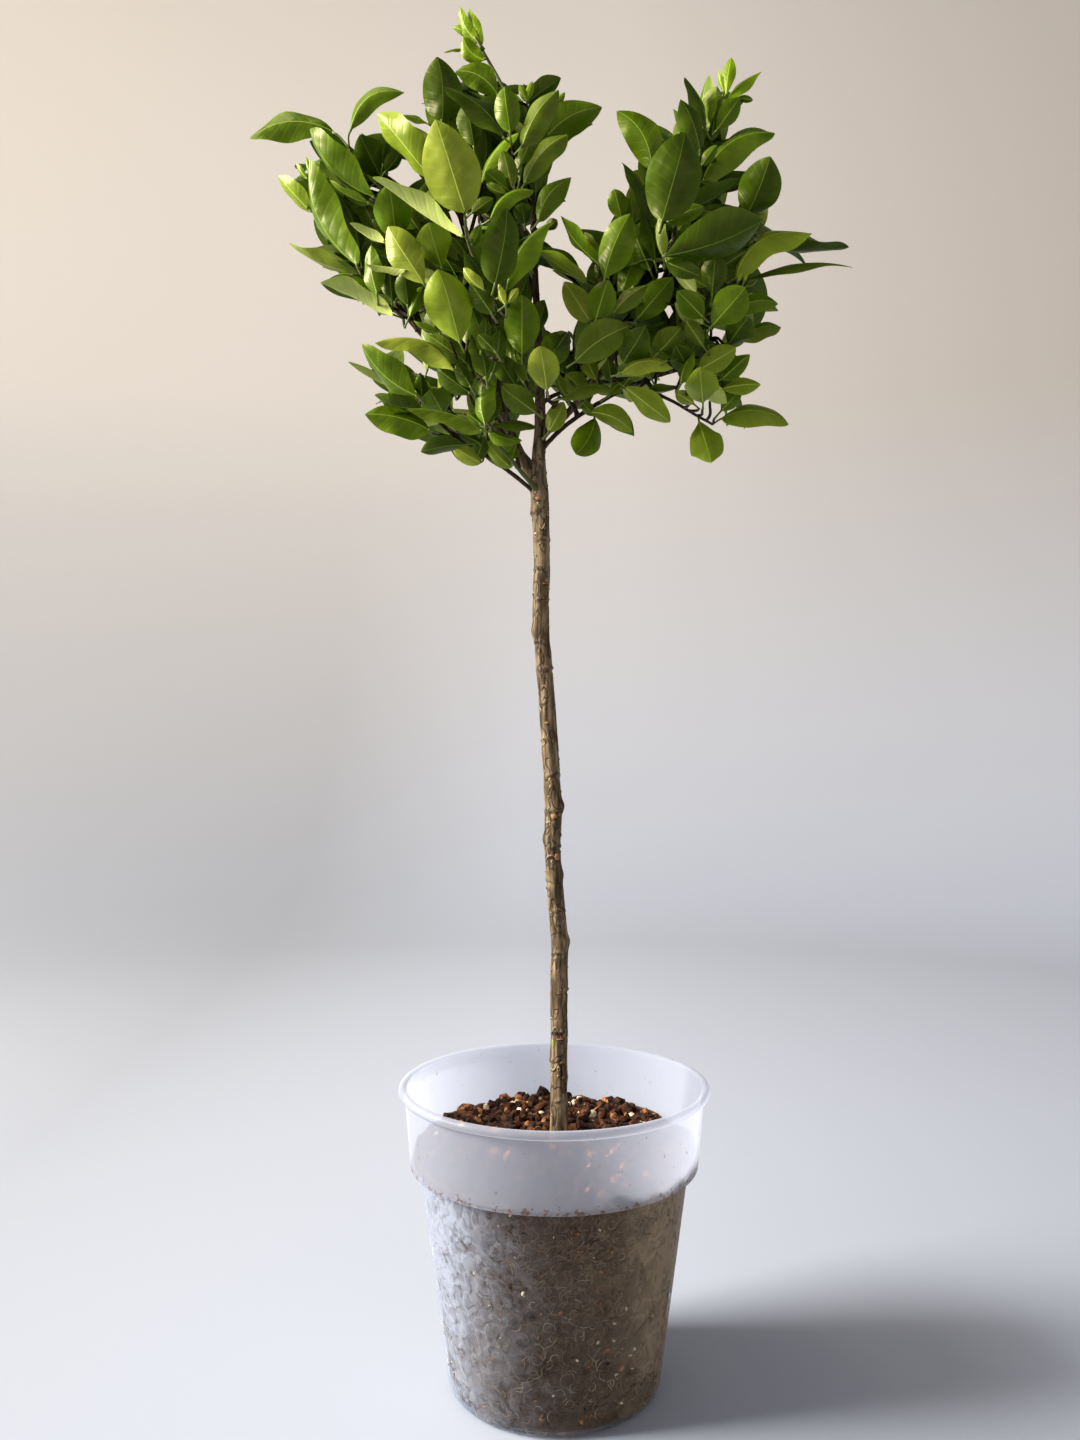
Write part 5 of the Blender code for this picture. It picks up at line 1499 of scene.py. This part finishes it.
# %% Pot material
def frosted_material(name):
    """Natural polypropylene, moulded: milky, slightly glossy, cloudier where nothing touches it inside."""
    material, tree = new_material(name)
    place = add(tree, "TexCoord").outputs["Object"]
    where = add(tree, "SeparateXYZ", [place]).outputs
    empty = add(tree, "MapRange", {"Value": where[2], "From Min": 0.1352, "From Max": 0.1358})
    slope = add(tree, "LayerWeight", {"Blend": 0.5}).outputs["Facing"]
    haze_full = add(tree, "MapRange", {"Value": slope, "From Min": 0.12, "From Max": 0.6,
                                       "To Min": 0.03, "To Max": 0.42})
    patches = add(tree, "TexNoise", {"Vector": place, "Scale": per_mm(16), "Detail": 4.0})
    patches = add(tree, "MapRange", {"Value": patches, "From Min": 0.35, "From Max": 0.65,
                                     "To Min": 0.6, "To Max": 1.45})
    pressed = add(tree, "Math", [squiggles(tree, place, 8.0, 0.07), -0.7, patches],
                  operation="MULTIPLY_ADD")
    pressed = add(tree, "Math", [squiggles(tree, place, 11.0, 0.06), 0.7, pressed],
                  operation="MULTIPLY_ADD")
    # Painted light: the haze is made about three times thicker on the window's side (-x) than on the other,
    # so that side shows paler.
    clouds = add(tree, "TexNoise", {"Vector": place, "Scale": per_mm(34), "Detail": 3.0})
    across_from_window = add(tree, "Math", [clouds, 0.05, where[0]], operation="MULTIPLY_ADD")
    painted_side_haze = add(tree, "MapRange", {"Value": across_from_window, "From Min": 0.06, "From Max": -0.025,
                                 "To Min": 0.62, "To Max": 1.9})
    # Painted light: towards the far right edge the haze thickens steeply, so that edge shows brighter.
    painted_bright_edge = add(tree, "MapRange", {"Value": where[0], "From Min": 0.03, "From Max": 0.085,
                                         "To Min": 0.0, "To Max": 2.6})
    painted_side_haze = add(tree, "Math", [painted_side_haze, painted_bright_edge])
    # Painted shade: the haze thins towards the bottom, so the lower body shows darker though the pale floor
    # lights it.
    higher = add(tree, "MapRange", {"Value": where[2], "From Min": 0.01, "From Max": 0.12,
                                    "To Min": 0.55, "To Max": 1.15})
    for factor in (painted_side_haze, higher):
        haze_full = add(tree, "Math", [haze_full, factor], operation="MULTIPLY")
    haze_full = add(tree, "Math", [haze_full, pressed], operation="MULTIPLY", use_clamp=True)
    haze_empty = add(tree, "MapRange", {"Value": slope, "From Min": 0.15, "From Max": 0.6,
                                        "To Min": 0.42, "To Max": 0.6})
    # Painted shade: the collar's haze is thinner on the window's side, so it shows less bright there.
    painted_collar_window_shade = add(tree, "MapRange", {"Value": where[0], "From Min": -0.11, "From Max": -0.03,
                                       "To Min": 0.7, "To Max": 1.0})
    haze_empty = add(tree, "Math", [haze_empty, painted_collar_window_shade], operation="MULTIPLY")
    haze = add(tree, "Mix", {0: empty, 2: haze_full, 3: haze_empty})
    bits = add(tree, "TexNoise", {"Vector": place, "Scale": per_mm(3.5), "Detail": 2.0})
    low_band = add(tree, "MapRange", {"Value": where[2], "From Min": 0.137, "From Max": 0.143,
                                      "To Min": 0.12, "To Max": -0.1})
    bits = add(tree, "Math", [bits, low_band])
    bits = add(tree, "MapRange", {"Value": bits, "From Min": 0.6, "From Max": 0.68, "To Max": 0.75})
    bits = add(tree, "Math", [bits, empty], operation="MULTIPLY")
    # Painted light: the milk is tinted blue-white on the window's side and brown on the other, along the
    # same line.
    side_tint_painted = add(tree, "MapRange", {"Value": across_from_window, "From Min": -0.03, "From Max": 0.05})
    side_tint_painted = add(tree, "MixRGB", [side_tint_painted, linear("#CCD4E4"), linear("#C0AC90")])
    milky = add(tree, "MixRGB", [empty, side_tint_painted, linear("#D6DAE6")])
    milky = add(tree, "MixRGB", [bits, milky, linear("#9A6E4C")])
    clear = add(tree, "BsdfTransparent", {"Color": linear("#F8F9FC")})
    skin = add(tree, "BsdfPrincipled", {"Base Color": milky, "Roughness": 0.32})
    milk = add(tree, "BsdfTranslucent", {"Color": milky})
    body = add(tree, "MixShader", [0.6, skin, milk])
    finish_with(tree, add(tree, "MixShader", [haze, clear, body]))
    return material


frosted = frosted_material("polypropylene_moulded_natural")

# %% [markdown]
# ## The pot's shape
#
# The pot has a rolled rim, a plain collar, a step and a tapering body, and holes in its foot let water
# out. The wall is turned in one go with its thickness, and a Boolean modifier cuts the holes, because
# they are the only part of the pot that isn't round about its middle.

# %% Pot
DRAIN_HOLES, DRAIN_RADIUS, DRAIN_CIRCLE = 8, 4.5, 46.0
DRILL_REACH = 4  # mm above and below the pot's underside
POT_SEGMENTS = 160
bead = []
for degrees in range(-70, 170, 20):
    x, z = around(BEAD, math.radians(degrees))
    bead.append((RIM_RADIUS - BEAD + x, POT_HEIGHT - BEAD + z))
pot_heap = Heap()
pot_heap.add(*turned_solid(pot_outside() + bead + pot_outside(WALL)[::-1], POT_SEGMENTS))
pot = pot_heap.make("pot_wall", "pot", [frosted], ["pot"])
drill = Heap()
for hole in range(DRAIN_HOLES):
    x, y = around(DRAIN_CIRCLE, math.tau * (hole + 0.5) / DRAIN_HOLES)
    drill.add(*tube([(x, y, -DRILL_REACH), (x, y, DRILL_REACH)], DRAIN_RADIUS, 24))
drill_object = set_down("drain_drill", mesh_of("drain_drill", np.concatenate(drill.points), drill.faces))
holes = pot.modifiers.new("drain_holes", "BOOLEAN")
holes.object = drill_object
holes.operation = "DIFFERENCE"
bpy.context.view_layer.update()
drilled = pot.evaluated_get(bpy.context.evaluated_depsgraph_get())
drilled_mesh = bpy.data.meshes.new_from_object(drilled)
pot.modifiers.clear()
pot.data = drilled_mesh
pot.data.set_sharp_from_angle(angle=math.radians(35))
bpy.data.objects.remove(drill_object)
print("pot faces with drain holes:", len(pot.data.polygons))

# %% [markdown]
# ## Stage
#
# A pale bowl-shaped sweep gives a floor and a backdrop without a horizon, whichever side one looks
# from. A flat floor and a wall would show a line behind the plant. The sweep's matt paint carries painted
# light: it is cooler near the floor and warmer above, and painted shade makes it darker on the window's
# side below and on the other side above.

# %% Stage
FLAT_RADIUS, BEND, SWEEP_TOP = 1500, 900, 2600
sweep_profile = [(0, 0), (FLAT_RADIUS, 0)]
for degrees in range(-80, 1, 10):
    x, z = around(BEND, math.radians(degrees))
    sweep_profile.append((FLAT_RADIUS + x, BEND + z))
sweep_profile.append((FLAT_RADIUS + BEND, SWEEP_TOP))
floor = set_down("floor", mesh_of("floor", *turned_solid(sweep_profile, 96)))
floor.data.shade_smooth()
floor_paint, tree = new_material("studio_paint_matt")
place = add(tree, "SeparateXYZ", [add(tree, "TexCoord").outputs["Object"]]).outputs
# Painted light: the paint is cooler near the floor and warmer above.
rise = add(tree, "MapRange", {"Value": place[2], "From Min": 0.05, "From Max": 1.2})
# Painted shade: above, the paint is darker on the side away from the window.
aside = add(tree, "MapRange", {"Value": place[0], "From Min": 0.2, "From Max": 1.3})
upper = add(tree, "MixRGB", [aside, linear("#A6A3A0"), linear("#908C88")])
# Painted shade: near the floor, the paint is darker on the window's side.
window_side_floor_shade = add(tree, "MapRange", {"Value": place[0], "From Min": -0.05, "From Max": -0.5})
lower = add(tree, "MixRGB", [window_side_floor_shade, linear("#9EA5B2"), linear("#868B94")])
paint = add(tree, "MixRGB", [rise, lower, upper])
finish_with(tree, add(tree, "BsdfPrincipled", {"Base Color": paint, "Roughness": 0.9}))
floor.data.materials.append(floor_paint)

# %% [markdown]
# ## Light
#
# A large soft light from the left is the window. Three more light the sweep behind, beside and in
# front of the plant, and a weak one and the open sky fill the shadows. A sun lamp would give hard
# shadows, where a room with one window gives soft ones.


# %% Lights
def soft_light(name, place, aim, size, power, colour):
    """A square soft light that looks at its aim. Places are in metres."""
    light = bpy.data.lights.new(name, "AREA")
    light.shape = "SQUARE"
    light.size = size
    light.energy = power
    light.color = linear(colour)[:3]
    lamp = set_down(name, light)
    lamp.location = place
    lamp.rotation_euler = (Vector(aim) - Vector(place)).to_track_quat("-Z", "Y").to_euler()
    lamp.visible_camera = False


soft_light("window", (-2.1, -0.25, 1.45), (0, 0, 1.3), 1.0, 212, "#FFFAF3")
soft_light("backdrop_light", (-1.2, 0.1, 2.3), (-1.1, 2.3, 1.0), 1.6, 46, "#FFEBD0")
soft_light("side_backdrop_light", (-1.3, -0.3, 2.4), (-2.4, -0.5, 1.7), 1.4, 22, "#FFF6EA")
soft_light("front_backdrop_light", (0.3, -1.3, 2.4), (0.5, -2.4, 1.7), 1.4, 14, "#FFF6EA")
soft_light("fill", (0.9, -1.6, 1.2), (0, 0, 0.5), 1.2, 4, "#F1F4FF")
world = bpy.data.worlds.new("sky")
bpy.context.scene.world = world
world.use_nodes = True
sky = world.node_tree.nodes["Background"].inputs
sky["Color"].default_value = linear("#DCE4FA")
sky["Strength"].default_value = 0.15

# %% [markdown]
# ## Size of the solids
#
# The looks must not change how big the plant is, so the box of the solids is printed.

# %% Size of the solids
bpy.context.view_layer.update()
print("solids:", cad_box)
